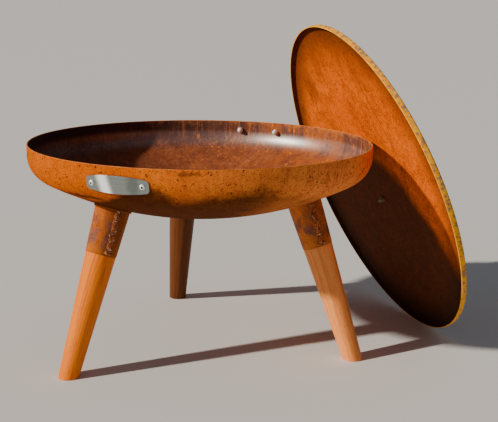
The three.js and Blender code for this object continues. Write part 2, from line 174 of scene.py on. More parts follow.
azimuth, pitch = math.radians(CAMERA_AZIMUTH), math.radians(CAMERA_PITCH)
forward = Vector(
    (math.cos(azimuth) * math.cos(pitch), math.sin(azimuth) * math.cos(pitch), math.sin(pitch))
)
level = Vector((math.sin(azimuth), -math.cos(azimuth), 0))
rolled = Matrix.Rotation(math.radians(-CAMERA_ROLL), 3, forward)
right = rolled @ level
above = right.cross(forward)
camera_data = bpy.data.cameras.new("camera")
camera_data.lens = CAMERA_LENS
camera_data.clip_end = 500
camera = bpy.data.objects.new("camera", camera_data)
camera_turn = Matrix((right, above, -forward)).transposed().to_4x4()
camera.matrix_world = Matrix.Translation(CAMERA_PLACE) @ camera_turn
bpy.context.scene.collection.objects.link(camera)
bpy.context.scene.camera = camera
print("camera looks along", [round(value, 3) for value in forward])

# %% [markdown]
# ## Shaders as sums
#
# A material is a small sum: so much of this noise, times that mask. `Field` wraps a node's
# output so that Python's own operators write the Math nodes, and the sum reads like a sum.

# %% Field: a number that varies over a surface


class Field:
    """The output of a node, with operators that add Math nodes to it."""

    def __init__(self, finish, socket):
        self.finish = finish
        self.socket = socket

    def math(self, operation, *values, clamp=False):
        settings = {"operation": operation, "use_clamp": clamp}
        node = self.finish.add("Math", settings, dict(enumerate(values)))
        return Field(self.finish, node.outputs[0])

    def __add__(self, other):
        return self.math("ADD", self, other)

    __radd__ = __add__

    def __sub__(self, other):
        return self.math("SUBTRACT", self, other)

    def __rsub__(self, other):
        return self.math("SUBTRACT", other, self)

    def __mul__(self, other):
        return self.math("MULTIPLY", self, other)

    __rmul__ = __mul__

    def clamped(self):
        return self.math("ADD", self, 0, clamp=True)

    def sine(self):
        return self.math("SINE", self)

    def size(self):
        return self.math("ABSOLUTE", self)

    def root(self):
        return self.math("SQRT", self)

    def step(self, low, high):
        """Rises smoothly from 0 to 1 between two values, or falls if low is the larger."""
        reach = {"From Min": min(low, high), "From Max": max(low, high)}
        ends = {"To Min": 0 if low < high else 1, "To Max": 1 if low < high else 0}
        settings = {"interpolation_type": "SMOOTHSTEP"}
        node = self.finish.add("MapRange", settings, {"Value": self, **reach, **ends})
        return Field(self.finish, node.outputs[0])


# %% [markdown]
# `Finish` holds one material. Its one `add` method makes any node from a type, its settings and
# its socket values, and a few short methods name the nodes that this object's finishes need.

# %% Finish: one material


class Finish:
    def __init__(self, name, metallic=0.0, **constants):
        self.material = bpy.data.materials.new(name)
        self.material.use_nodes = True
        self.nodes = self.material.node_tree.nodes
        self.nodes.clear()
        self.shader = self.add("BsdfPrincipled", {}, {"Metallic": metallic, **constants})
        output = self.add("OutputMaterial")
        self.join(self.shader.outputs[0], output.inputs["Surface"])

    def join(self, source, target):
        self.material.node_tree.links.new(source, target)

    def add(self, kind, settings=None, sockets=None):
        node = self.nodes.new("ShaderNode" + kind)
        for name, value in (settings or {}).items():
            if name == "stops":
                self.set_stops(node.color_ramp, value)
            else:
                setattr(node, name, value)
        for name, value in (sockets or {}).items():
            socket = self.socket(node, name)
            if isinstance(value, Field):
                self.join(value.socket, socket)
            elif isinstance(value, bpy.types.NodeSocket):
                self.join(value, socket)
            else:
                socket.default_value = value
        return node

    def socket(self, node, name):
        """An input by its place, its name or its identifier."""
        if isinstance(name, int):
            return node.inputs[name]
        for socket in node.inputs:
            if socket.identifier == name:
                return socket
        return node.inputs[name]

    def set_stops(self, ramp, stops):
        while len(ramp.elements) < len(stops):
            ramp.elements.new(1)
        for element, (place, colour) in zip(ramp.elements, stops):
            element.position = place
            element.color = (*colour, 1)

    def place(self, frame_matrix=None):
        """Coordinates in metres, in a piece's own frame if it has one."""
        here = self.add("TexCoord").outputs["Object"]
        if frame_matrix is not None:
            back = (MILLIMETRES @ frame_matrix @ MILLIMETRES.inverted()).inverted()
            turned = {"Vector": here, "Location": back.to_translation(), "Rotation": back.to_euler()}
            here = self.add("Mapping", {}, turned).outputs[0]
        return here

    def stretched(self, vector, stretch):
        node = self.add("VectorMath", {"operation": "MULTIPLY"}, {0: vector, 1: stretch})
        return node.outputs[0]

    def parts(self, vector):
        node = self.add("SeparateXYZ", {}, {0: vector})
        return [Field(self, output) for output in node.outputs]

    def noise(self, vector, scale, detail=4.0, roughness=0.55, twist=0.0):
        sockets = {"Vector": vector, "Scale": scale, "Detail": detail, "Roughness": roughness}
        node = self.add("TexNoise", {}, {**sockets, "Distortion": twist})
        return Field(self, node.outputs[0])

    def cells(self, vector, scale):
        """Distance from the nearest of many scattered points."""
        node = self.add("TexVoronoi", {}, {"Vector": vector, "Scale": scale})
        return Field(self, node.outputs["Distance"])

    def ramp(self, field, *stops):
        node = self.add("ValToRGB", {"stops": stops}, {"Fac": field})
        return node.outputs["Color"]

    def mix(self, amount, first, second):
        """One colour over another, by an amount from 0 to 1."""
        colours = [c if isinstance(c, bpy.types.NodeSocket) else (*c, 1) for c in (first, second)]
        settings = {"data_type": "RGBA"}
        sockets = {"Factor_Float": amount, "A_Color": colours[0], "B_Color": colours[1]}
        node = self.add("Mix", settings, sockets)
        return next(o for o in node.outputs if o.identifier == "Result_Color")

    def bump(self, height, distance, strength=1.0):
        """Relief from a height between 0 and 1 that stands for a distance in metres."""
        sockets = {"Height": height, "Distance": distance, "Strength": strength}
        return self.add("Bump", {}, sockets).outputs[0]

    def wear(self, **sockets):
        """Feeds the shader's own sockets."""
        names = {"colour": "Base Color", "roughness": "Roughness", "metallic": "Metallic"}
        names |= {"glaze": "Coat Weight", "normal": "Normal"}
        for name, value in sockets.items():
            source = value.socket if isinstance(value, Field) else value
            self.join(source, self.shader.inputs[names[name]])
        return self.material


# %% [markdown]
# ## Rust
#
# Weathering steel rusts in layers: broad blotches that come from how the sheet was wetted, a
# fine grain, and tiny dark pits. The same layers serve the bowl, the sleeves and the lid, and
# each finish sets its own tones. Noise on stretched coordinates turns blotches into streaks.

# %% The layers that every rusted sheet shares
MATT = {"Specular IOR Level": 0.015}


def rust_grain(finish, here):
    """Fine grain, dark pits and broad blotches, each between 0 and 1."""
    blotch = finish.noise(here, 9, 5, 0.6, 0.4)
    cloud = finish.noise(here, 38, 5, 0.65, 0.3)
    grain = finish.noise(here, 420, 3, 0.7)
    coarse = (finish.noise(here, 42, 5, 0.75) - 0.42) * 1.6 - finish.cells(here, 145)
    fine = (finish.noise(here, 90, 4, 0.7) - 0.33) * 1.4 - finish.cells(here, 240)
    pits = (coarse.step(-0.02, 0.05) + fine.step(-0.04, 0.08) * 0.6).clamped()
    return blotch, cloud, grain, pits


def rust_relief(finish, grain, pits, depth=0.0006):
    return finish.bump(grain - pits * 0.8, depth, 0.8)


# %% Outside of the bowl


def bowl_outside():
    """Orange rust in lit and shaded copies as painted light, streaked on the shaded side, and nearly black
    low down in front as painted shade and shadow.
    """
    finish = Finish("bowl outside rust", **MATT)
    here = finish.place(bowl_frame)
    x, _, z = finish.parts(here)
    blotch, cloud, grain, pits = rust_grain(finish, here)
    streaks = finish.noise(finish.stretched(here, (1, 1, 0.07)), 120, 4, 0.6)
    fine = finish.noise(finish.stretched(here, (1, 1, 0.1)), 420, 2, 0.6)
    mottle = finish.noise(here, 170, 5, 0.75, 0.3)
    # Painted light: lit and shaded copies of the rust. The side the sun falls on gets darker, deeper tones,
    # and the shaded side gets brighter ones.
    lit = x.step(0.22, -0.32)
    tone = (blotch - 0.5) * 0.5 + (cloud - 0.5) * 0.5 + (mottle - 0.5) * 0.9 + (grain - 0.5) * 0.6 + 0.5
    tone = tone + (streaks - 0.5) * (0.6 - lit * 0.4) + (fine - 0.5) * (0.55 - lit * 0.35)
    painted_lit_tones = finish.ramp(
        tone,
        (0.12, (0.27, 0.04, 0.0006)),
        (0.42, (0.47, 0.088, 0.0004)),
        (0.68, (0.6, 0.125, 0.0004)),
        (0.9, (0.78, 0.19, 0.001)),
    )
    painted_shaded_tones = finish.ramp(
        tone,
        (0.1, (0.28, 0.065, 0.018)),
        (0.4, (0.8, 0.2, 0.045)),
        (0.62, (0.94, 0.29, 0.06)),
        (0.9, (1.0, 0.4, 0.09)),
    )
    colour = finish.mix(lit, painted_shaded_tones, painted_lit_tones)
    # Painted shade: the far end beside the lid is darkened and greyed, against the lid's orange glow.
    colour = finish.mix(x.step(0.3, 0.385) * 0.9, colour, (0.3, 0.2, 0.12))
    # Painted shade and shadow: the wall turns nearly black below a line low down in front, where shade and
    # a cast shadow fall.
    low = painted_shadow_band(x, z + (cloud - 0.5) * 0.02 + (mottle - 0.5) * 0.012)
    painted_shadow = finish.ramp(
        tone,
        (0.2, (0.022, 0.007, 0.003)),
        (0.5, (0.06, 0.017, 0.006)),
        (0.85, (0.11, 0.034, 0.01)),
    )
    colour = finish.mix(low * (0.9 - x.step(-0.02, 0.1) * 0.45), colour, painted_shadow)
    # The smudge and the patch are dark stains; the line is a painted shadow edge along the foot of the lit
    # part, near the badge.
    smudge = dark_mark_at(finish, here, 251, 0.481, (0.034, 0.006), cloud)
    patch = dark_mark_at(finish, here, 272.5, 0.443, (0.026, 0.016), streaks)
    line = dark_mark_at(finish, here, 211, 0.412, (0.07, 0.007), cloud)
    stains_and_shadow_edge = (smudge * 0.6 + patch * streaks * 0.75 + line * 0.8).clamped()
    colour = finish.mix(stains_and_shadow_edge, colour, (0.045, 0.014, 0.008))
    colour = finish.mix(pits * 0.85, colour, (0.03, 0.01, 0.006))
    rough = (grain * 0.15 + 0.72 + pits * 0.1).clamped()
    return finish.wear(colour=colour, roughness=rough, normal=rust_relief(finish, grain, pits))


def painted_shadow_band(x, z):
    """The painted shade and shadow on the wall: below a line with a rounded peak, and a hump beside the
    badge.
    """
    from_peak = x * 0.49 - 0.01
    line = x * -0.055 + 0.4585 - (from_peak * from_peak + 0.0004).root() * 0.5
    line = line + (x + 0.215).size().step(0.075, 0.02) * 0.04
    return (z - line).step(0.01, -0.02)


def dark_mark_at(finish, here, azimuth, height, size, ragged):
    """A ragged dark mark on the wall, used for stains and for a painted shadow edge: a direction, a height
    and its half width and half height.
    """
    out = wall_radius(RIM_HEIGHT - 1000 * height) / 1000
    middle = (out * math.cos(math.radians(azimuth)), out * math.sin(math.radians(azimuth)), height)
    away = finish.add("VectorMath", {"operation": "SUBTRACT"}, {0: here, 1: middle}).outputs[0]
    shrunk = finish.stretched(away, (1 / size[0], 1 / size[0], 1 / size[1]))
    length = finish.add("VectorMath", {"operation": "LENGTH"}, {0: shrunk})
    return (Field(finish, length.outputs["Value"]) + (ragged - 0.5) * 3).step(1.3, 0.3)


outside_rust = bowl_outside()
print("bowl outside:", len(outside_rust.node_tree.nodes), "nodes")

# %% [markdown]
# The inside is another colour altogether. Heat has left the mill scale on the wall purple-grey
# and a little glossy, the crown is a redder brown, and bright young rust shows in specks and
# in drips down from the rim.

# %% Inside of the bowl


def bowl_inside():
    """Purple-grey scale above, redder crown below, painted shade to the left and along the rear rim, and
    young rust to the lit right.
    """
    gloss = {"Specular IOR Level": 0.12, "Coat Roughness": 0.4, "Coat IOR": 2.3}
    finish = Finish("bowl inside scale", **gloss)
    here = finish.place(bowl_frame)
    x, _, z = finish.parts(here)
    blotch, cloud, grain, pits = rust_grain(finish, here)
    drips = finish.noise(finish.stretched(here, (1, 1, 0.05)), 95, 4, 0.65)
    scratches = finish.noise(finish.stretched(here, (1, 1, 0.03)), 330, 2, 0.7)
    high = (z + (blotch - 0.5) * 0.05 + (drips - 0.5) * 0.03).step(0.405, 0.448)
    mottle = finish.noise(here, 130, 5, 0.75, 0.3)
    tone = (cloud - 0.5) * 0.8 + (blotch - 0.5) * 0.5 + (mottle - 0.5) * 0.8 + (grain - 0.5) * 0.4 + 0.5
    crown = finish.ramp(
        tone,
        (0.15, (0.12, 0.026, 0.012)),
        (0.5, (0.24, 0.068, 0.027)),
        (0.85, (0.46, 0.14, 0.045)),
    )
    scale = finish.ramp(
        tone + (scratches - 0.5) * 0.6 + (drips - 0.5) * 0.6,
        (0.15, (0.05, 0.016, 0.012)),
        (0.5, (0.15, 0.056, 0.038)),
        (0.85, (0.34, 0.14, 0.085)),
    )
    colour = finish.mix(high, crown, scale)
    washed = finish.noise(finish.stretched(here, (1, 1, 0.3)), 26, 4, 0.7)
    warm = x.step(0.12, 0.34) * washed.step(0.4, 0.6)
    colour = finish.mix(warm * 0.75, colour, finish.mix(mottle, (0.2, 0.035, 0.006), (0.6, 0.17, 0.02)))
    # Painted shade: darker on the left, where shade falls inside the bowl, and along the top of the rear
    # wall.
    painted_inside_shade = x.step(0.02, -0.22) * 0.5 + z.step(0.452, 0.472) * x.step(0.32, 0.0) * 0.45
    colour = finish.mix(painted_inside_shade.clamped(), colour, (0.024, 0.015, 0.013))
    # Painted light: young rust, drips and the bright rim edge are kept to the right, where the sun lights
    # the inside, and the shaded left gets none.
    sunny = x.step(-0.1, 0.1)
    spot = finish.cells(finish.stretched(here, (1, 1, 0.5)), 66)
    young = ((finish.noise(here, 24, 4, 0.7) - 0.45) * 1.7 - spot).step(-0.02, 0.06)
    young = young * sunny * (z.step(0.372, 0.41) * 0.7 + 0.3)
    runs = drips.step(0.56, 0.66) * finish.noise(here, 12, 2).step(0.44, 0.56) * sunny
    edge = z.step(0.478, 0.489) * cloud.step(0.42, 0.6) * sunny
    fresh = (young * 0.85 + runs * 0.6 + edge * 0.5).clamped()
    colour = finish.mix(fresh, colour, finish.mix(grain, (0.5, 0.11, 0.006), (0.85, 0.26, 0.012)))
    colour = finish.mix(pits * 0.5, colour, (0.03, 0.01, 0.006))
    band = z.step(0.408, 0.436) * z.step(0.474, 0.456)
    rough = (band * -0.2 + 0.66 + (grain - 0.5) * 0.2 + (cloud - 0.5) * 0.1 + fresh * 0.2).clamped()
    relief = rust_relief(finish, grain + scratches * 0.3, pits, 0.0003)
    shine = band * (x.step(-0.25, 0.02) * 0.8 + 0.2)
    glaze = (shine - fresh * 0.4 + (scratches - 0.5) * 0.5 + (mottle - 0.5) * 0.5).clamped() * band
    return finish.wear(colour=colour, roughness=rough, normal=relief, glaze=glaze)


inside_rust = bowl_inside()


def rim_edge():
    """The sawn edge of the sheet: bright, thin and rubbed."""
    finish = Finish("rim edge", **{"Specular IOR Level": 0.3})
    here = finish.place(bowl_frame)
    cloud = finish.noise(here, 45, 4)
    grain = finish.noise(here, 420, 3)
    colour = finish.ramp(
        cloud + (grain - 0.5) * 0.4,
        (0.3, (0.36, 0.085, 0.008)),
        (0.55, (0.66, 0.18, 0.012)),
        (0.8, (0.7, 0.33, 0.1)),
    )
    return finish.wear(colour=colour, roughness=grain * 0.3 + 0.4, normal=finish.bump(grain, 0.0004))


rim_rust = rim_edge()
print("bowl inside:", len(inside_rust.node_tree.nodes), "nodes")

# %% [markdown]
# ## From a bmesh to a piece
#
# Every piece ends the same way. The mesh moves to its place and to metres, smooth shading is
# broken at sharp corners, the piece takes its materials and is hung on the body it rides on, and
# the nodes of the frame that it stands for are hidden.

# %% Finish a piece
SMOOTH_UP_TO = math.radians(32)
piece_faces = {}


def new_piece(name, shape, frame_matrix, body, materials, replaces=()):
    bmesh.ops.transform(shape, matrix=MILLIMETRES @ frame_matrix, verts=shape.verts)
    mesh = bpy.data.meshes.new(name)
    shape.to_mesh(mesh)
    shape.free()
    mesh.shade_smooth()
    mesh.set_sharp_from_angle(angle=SMOOTH_UP_TO)
    for material in materials:
        mesh.materials.append(material)
    piece = bpy.data.objects.new(name, mesh)
    bpy.context.scene.collection.objects.link(piece)
    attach(piece, body)
    if replaces:
        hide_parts(*replaces)
    piece_faces[name] = len(mesh.polygons)
    print(name, "has", len(mesh.polygons), "faces and rides on", body)


# %% [markdown]
# ## Turned pieces
#
# A bowl, a leg, a sleeve and a nut are all turned shapes: half of a section, spun once round an
# axis. `arc` gives the round parts of a section, and `turned` spins it, merges the seam and the
# poles, and points the faces outwards.

# %% Helpers for turned pieces
MERGE = 0.002


def arc(centre, radius, start, end, steps):
    """Points on an arc between two angles in degrees, as (radius, height) pairs."""
    turns = [math.radians(start + (end - start) * step / steps) for step in range(steps + 1)]
    return [(centre[0] + radius * math.cos(a), centre[1] + radius * math.sin(a)) for a in turns]


def turned(section, steps):
    shape = bmesh.new()
    verts = [shape.verts.new((radius, 0, height)) for radius, height in section]
    edges = [shape.edges.new(pair) for pair in zip(verts, verts[1:])]
    spun = dict(axis=(0, 0, 1), cent=(0, 0, 0), angle=2 * math.pi, steps=steps)
    bmesh.ops.spin(shape, geom=verts + edges, use_merge=True, **spun)
    bmesh.ops.remove_doubles(shape, verts=shape.verts, dist=MERGE)
    bmesh.ops.recalc_face_normals(shape, faces=shape.faces)
    return shape


# %% [markdown]
# ## The bowl
#
# The section runs from the middle of the underside out along the crown, round the knuckle, up
# the straight rim, over its rounded edge and back inside, all as one closed sheet 3 mm thick.
# Each face then takes the outside, the inside or the edge finish, by the way it looks.

# %% Build the bowl
RIM_ROUND = 1


def dish_arcs(inset):
    crown = arc((0, crown_centre), CROWN_RADIUS - inset, -90, meeting_angle, 30)
    knuckle = arc((knuckle_centre, tangent_height), KNUCKLE_RADIUS - inset, meeting_angle, 0, 20)
    return crown + knuckle[1:]


outer_rim = arc((BOWL_RADIUS - RIM_ROUND, RIM_HEIGHT - RIM_ROUND), RIM_ROUND, 0, 90, 4)
inner_radius = BOWL_RADIUS - BOWL_WALL
inner_rim = arc((inner_radius + RIM_ROUND, RIM_HEIGHT - RIM_ROUND), RIM_ROUND, 90, 180, 4)
bowl = turned(dish_arcs(0) + outer_rim + inner_rim + dish_arcs(BOWL_WALL)[::-1], 256)
above_bowl = Vector((0, 0, crown_centre))
for face in bowl.faces:
    middle = face.calc_center_median()
    if middle.z > RIM_HEIGHT - RIM_ROUND:
        face.material_index = 2
    elif face.normal.dot(above_bowl - middle) > 0:
        face.material_index = 1
bowl_finishes = [outside_rust, inside_rust, rim_rust]
new_piece("bowl", bowl, bowl_frame, "stand", bowl_finishes, ["fire_bowl"])

# %% [markdown]
# ## Sleeves under the bowl
#
# Each leg screws into a sleeve of sheet rolled to a cone. Its top is cut to the bowl's crown,
# which is part of a ball, so every point of the top slides along its own line until it is one
# ball radius from the ball's middle. That is a quadratic, solved in `meets_bowl`.

# %% Sleeve finish


def sleeve_rust(name, leg, tones, seam_side):
    """Brown rust with purple patches near the mouth and a heat tint beside the welded seam."""
    finish = Finish(name, **{"Specular IOR Level": 0.1})
    here = finish.place(leg_frames[leg])
    x, y, z = finish.parts(here)
    blotch, cloud, grain, pits = rust_grain(finish, finish.stretched(here, (1.3, 1.3, 1.3)))
    patch = finish.noise(here, 40, 6, 0.68, 0.3)
    tone = (cloud - 0.5) * 0.8 + (grain - 0.5) * 0.5 + (blotch - 0.5) * 0.4 + 0.5
    colour = finish.ramp(tone, *tones)
    low = mouth / 1000
    band = z.step(low + 0.004, low + 0.03) * (1 - z.step(low + 0.055, low + 0.09) * 0.8)
    purple = patch.step(0.43, 0.58) * band
    colour = finish.mix(purple * 0.75, colour, finish.mix(grain, (0.09, 0.034, 0.03), (0.25, 0.115, 0.095)))
    side = math.radians(seam_side)
    facing = x * math.cos(side) + y * math.sin(side)
    heat = facing.step(0.024, 0.038) * cloud.step(0.3, 0.6)
    colour = finish.mix(heat * 0.6, colour, (0.07, 0.025, 0.02))
    colour = finish.mix(pits * 0.8, colour, (0.03, 0.01, 0.008))
    rough = (grain * 0.25 + 0.5 + purple * -0.12).clamped()
    return finish.wear(colour=colour, roughness=rough, normal=rust_relief(finish, grain, pits))


def weld_bead(name, leg):
    """Weld metal: coppery and dark, with painted glints of bright colour where the spatter is bare."""
    finish = Finish(name, 0.3)
    here = finish.place(leg_frames[leg])
    spatter = finish.noise(here, 260, 4, 0.7)
    cloud = finish.noise(here, 70, 3, 0.6)
    colour = finish.ramp(
        spatter + (cloud - 0.5) * 0.6,
        (0.3, (0.05, 0.014, 0.007)),
        (0.5, (0.27, 0.06, 0.01)),
        (0.68, (0.62, 0.16, 0.02)),
    )
    # Painted glints: bright specks of colour stand for the sun's sparkle on the bead, which is also
    # smoother there.
    painted_glint = ((finish.noise(here, 110, 3, 0.7) - 0.4) * 1.9 - finish.cells(here, 270)).step(-0.05, 0.06)
    colour = finish.mix(painted_glint, colour, (1.0, 0.72, 0.45))
    rough = (0.6 - painted_glint * 0.28).clamped()
    return finish.wear(colour=colour, roughness=rough, normal=finish.bump(spatter + painted_glint * 0.4, 0.0012))


# %% Build the sleeves with their seams and fillets
SEAM_TURNS = (150, 77, -53)
SEAM_SWING = (0, -4, 6)
SEAM_HALF_WIDTH = 8.2
SEAM_PROUD = 1.5
SEAM_RIPPLE = 3.1  # length of one ripple of the bead
MOUTH_ROUND = 0.7
FILLET = 2.6
FILLET_OUT, FILLET_DOWN = 0.8, 1.2  # the bead's core, from the sleeve's edge
FILLET_RIPPLES = 74
# Painted light: lit and shaded copies of the sleeve rust. The sleeve in the sun gets the darker tones, and
# the sleeves in shade get the brighter ones.
PAINTED_LIT_SLEEVE_TONES = (
    (0.15, (0.16, 0.033, 0.003)),
    (0.45, (0.4, 0.088, 0.004)),
    (0.85, (0.66, 0.2, 0.012)),
)
PAINTED_SHADED_SLEEVE_TONES = (
    (0.15, (0.2, 0.055, 0.015)),
    (0.5, (0.62, 0.17, 0.028)),
    (0.85, (0.86, 0.3, 0.05)),
)
sleeve_growth = (SOCKET_TOP_RADIUS - SOCKET_MOUTH_RADIUS) / SOCKET_LENGTH


def sleeve_radius(along):
    return SOCKET_MOUTH_RADIUS + (along - mouth) * sleeve_growth


def crown_from(leg):
    """The middle of the crown's ball, seen from a leg's own frame."""
    return leg_frames[leg].inverted() @ (bowl_axis + above_bowl)


def meets_bowl(point, direction, centre):
    away = point - centre
    middle = away.dot(direction)
    reach = (CROWN_RADIUS + GAP) ** 2
    return point + direction * (-middle - math.sqrt(middle**2 - away.length_squared + reach))


def build_sleeve(leg):
    spare = bowl_from_foot + SOCKET_TOP_RADIUS
    mouth_in = sleeve_radius(mouth) - SOCKET_WALL
    mouth_out = mouth_in + SOCKET_WALL
    section = arc((mouth_in + MOUTH_ROUND, mouth + MOUTH_ROUND), MOUTH_ROUND, 180, 270, 3)
    section += arc((mouth_out - MOUTH_ROUND, mouth + MOUTH_ROUND), MOUTH_ROUND, 270, 360, 3)
    for share in (0.25, 0.5, 0.75, 0.92):
        along = mouth + share * SOCKET_LENGTH
        section.append((sleeve_radius(along), along))
    section.append((sleeve_radius(spare), spare))
    section.append((sleeve_radius(spare) - SOCKET_WALL, spare))
    section.append(section[0])
    sleeve = turned(section, 96)
    centre = crown_from(leg)
    for vert in sleeve.verts:
        if vert.co.z > spare - 1:
            outward = Vector((vert.co.x, vert.co.y, 0)).normalized()
            line = (outward * sleeve_growth + Vector((0, 0, 1))).normalized()
            vert.co = meets_bowl(vert.co - line * 2 * SOCKET_TOP_RADIUS, line, centre)
    return sleeve


def build_fillet(leg):
    """The weld bead round the top of a sleeve: a spun ring that follows the join."""
    top = bowl_from_foot
    core_radius, core_height = sleeve_radius(top) + FILLET_OUT, top - FILLET_DOWN
    fillet = bmesh.new()
    ring = bmesh.ops.create_circle(fillet, segments=10, radius=FILLET, matrix=turn(90, "X"))["verts"]
    bmesh.ops.translate(fillet, verts=ring, vec=(core_radius, 0, core_height))
    spun = dict(axis=(0, 0, 1), cent=(0, 0, 0), angle=2 * math.pi, steps=216)
    bmesh.ops.spin(fillet, geom=ring + fillet.edges[:], use_merge=True, **spun)
    bmesh.ops.remove_doubles(fillet, verts=fillet.verts, dist=MERGE)
    bmesh.ops.recalc_face_normals(fillet, faces=fillet.faces)
    centre = crown_from(leg)
    for vert in fillet.verts:
        around = math.atan2(vert.co.y, vert.co.x)
        outward = Vector((math.cos(around), math.sin(around), 0))
        core = outward * core_radius + Vector((0, 0, core_height))
        foot = core - Vector((0, 0, 60))
        rise = meets_bowl(foot, Vector((0, 0, 1)), centre).z - top - 0.4
        ripple = 0.9 + 0.05 * math.sin(around * FILLET_RIPPLES + 2 * noise.noise(core * 0.12))
        ripple += 0.12 * noise.noise(core * 0.2 + Vector((leg, 0, 0)))
        vert.co = core + (vert.co - core) * ripple + Vector((0, 0, rise))
    return fillet


def build_seam(leg):
    """The long weld where the rolled sheet closes: a rippled half-round bead."""
    low, high = mouth + 0.6, bowl_from_foot - 3.5
    seam = bmesh.new()
    size = dict(radius1=1, radius2=1, depth=high - low)
    bmesh.ops.create_cone(seam, segments=14, cap_ends=True, **size)
    bmesh.ops.translate(seam, verts=seam.verts, vec=(0, 0, (low + high) / 2))
    sides = [edge for edge in seam.edges if abs(edge.verts[0].co.z - edge.verts[1].co.z) > 1]
    bmesh.ops.subdivide_edges(seam, edges=sides, cuts=120, use_grid_fill=True)
    for vert in seam.verts:
        along = vert.co.z
        share = (along - low) / (high - low)
        wander = noise.noise(Vector((leg * 7, 0, along * 0.07)))
        lump = noise.noise(Vector((leg * 7, 5, along * 0.3)))
        ripple = 0.84 + 0.1 * math.sin(along * 2 * math.pi / SEAM_RIPPLE) + 0.5 * lump
        blob = 1 + 0.5 * math.exp(-(((share - 0.04) / 0.06) ** 2))
        ends = min(1.0, 0.35 + 14 * min(share, 1 - share))
        tangential = vert.co.y * SEAM_HALF_WIDTH * ripple * blob * ends + wander * 1.6
        proud = vert.co.x * SEAM_PROUD * ripple * blob * ends
        around = math.radians(SEAM_TURNS[leg] + SEAM_SWING[leg] * (share - 0.5))
        radius = sleeve_radius(along) + proud
        turned_by = around + tangential / radius
        vert.co = Vector((radius * math.cos(turned_by), radius * math.sin(turned_by), along))
    bmesh.ops.recalc_face_normals(seam, faces=seam.faces)
    return seam


SLEEVE_TONES = (PAINTED_SHADED_SLEEVE_TONES, PAINTED_LIT_SLEEVE_TONES, PAINTED_SHADED_SLEEVE_TONES)
for leg, leg_frame in enumerate(leg_frames):
    number = leg + 1
    rust = sleeve_rust(f"sleeve rust {number}", leg, SLEEVE_TONES[leg], SEAM_TURNS[leg])
    weld = weld_bead(f"weld {number}", leg)
    node = f"leg_socket_{number}"
    new_piece(f"sleeve_{number}", build_sleeve(leg), leg_frame, "stand", [rust], [node])
    new_piece(f"sleeve_seam_{number}", build_seam(leg), leg_frame, "stand", [weld])
    new_piece(f"sleeve_fillet_{number}", build_fillet(leg), leg_frame, "stand", [rust])

# %% [markdown]
# ## Turned legs
#
# A leg is one long cone with a tenon at the top that slides up inside its sleeve. The foot is
# cut level with the ground, because the leg leans: `bisect_plane` cuts it, the hole is filled
# and the new edge is rounded over a little, as sandpaper leaves it.

# %% Wood


def leg_wood(name, leg, tones, seed, ring_width=0.0055):
    """Straight-grained oiled hardwood, with growth rings from a middle that lies off the axis."""
    finish = Finish(name, **{"Specular IOR Level": 0.12})
    here = finish.place(leg_frames[leg] @ turn(seed * 47, "Z"))
    along_grain = finish.stretched(here, (1, 1, 0.05))
    wobble = finish.noise(along_grain, 26 + seed, 3, 0.5)
    x, y, z = finish.parts(here)
    off_x = x - 0.031 + z * 0.035 + (wobble - 0.5) * 0.016
    off_y = y + 0.009 - z * 0.02
    rings = ((off_x * off_x + off_y * off_y).root() * (2 * math.pi / ring_width)).sine() * 0.5 + 0.5
    fibres = finish.noise(finish.stretched(here, (1, 1, 0.022)), 520, 4, 0.7)
    bands = finish.noise(finish.stretched(here, (1, 1, 0.035)), 95 + 9 * seed, 4, 0.6)
    pores = finish.cells(finish.stretched(here, (1, 1, 0.06)), 900).step(0.34, 0.12)
    tone = (rings - 0.5) * 0.16 + (fibres - 0.5) * 0.5 + (bands - 0.5) * 0.6 + 0.5
    colour = finish.ramp(tone, *tones)
    streak = bands.step(0.62, 0.72) * fibres.step(0.4, 0.6)
    colour = finish.mix(streak * 0.5, colour, (0.1, 0.032, 0.01))
    colour = finish.mix(pores * 0.35, colour, (0.08, 0.028, 0.01))
    rough = (fibres * 0.2 + 0.36 + pores * 0.2).clamped()
    return finish.wear(colour=colour, roughness=rough, normal=finish.bump(fibres - pores * 0.5, 0.00025))


PINK_TAN = ((0.15, (0.5, 0.1, 0.002)), (0.5, (0.88, 0.2, 0.003)), (0.85, (0.98, 0.32, 0.02)))
GOLDEN = ((0.15, (0.46, 0.14, 0.04)), (0.5, (0.94, 0.31, 0.075)), (0.85, (1.0, 0.46, 0.15)))
# Painted shade: the back leg's wood is made very dark, as it stands in shade.
PAINTED_SHADE_WOOD = ((0.15, (0.07, 0.019, 0.004)), (0.5, (0.13, 0.037, 0.008)), (0.85, (0.21, 0.068, 0.016)))
LEG_TONES = (PAINTED_SHADE_WOOD, PINK_TAN, GOLDEN)

# %% Build the legs
FOOT_EASE = 2
CHAMFER = 1.2
TENON_CHAMFER, BORE_CHAMFER = 2, 1
BELOW_GROUND = 40  # spare length that is cut off


def build_leg():
    tenon = SOCKET_MOUTH_RADIUS - SOCKET_WALL - TENON_PLAY
    shoulder = mouth - GAP
    growth = (LEG_TOP_RADIUS - FOOT_RADIUS) / shoulder
    bore = STUD_RADIUS + GAP
    top = mouth + TENON_LENGTH
    section = [(0, -BELOW_GROUND), (FOOT_RADIUS - BELOW_GROUND * growth, -BELOW_GROUND)]
    section += [(FOOT_RADIUS + growth * along, along) for along in (40, 110, 190, shoulder - 3)]
    section += arc((LEG_TOP_RADIUS - CHAMFER, shoulder - CHAMFER), CHAMFER, 5, 90, 4)
    section += [(tenon, shoulder), (tenon, top - TENON_CHAMFER), (tenon - TENON_CHAMFER, top)]
    section += [(bore + BORE_CHAMFER, top), (bore, top - BORE_CHAMFER)]
    section += [(bore, top - STUD_IN_LEG), (0, top - STUD_IN_LEG - 2)]
    return turned(section, 96)


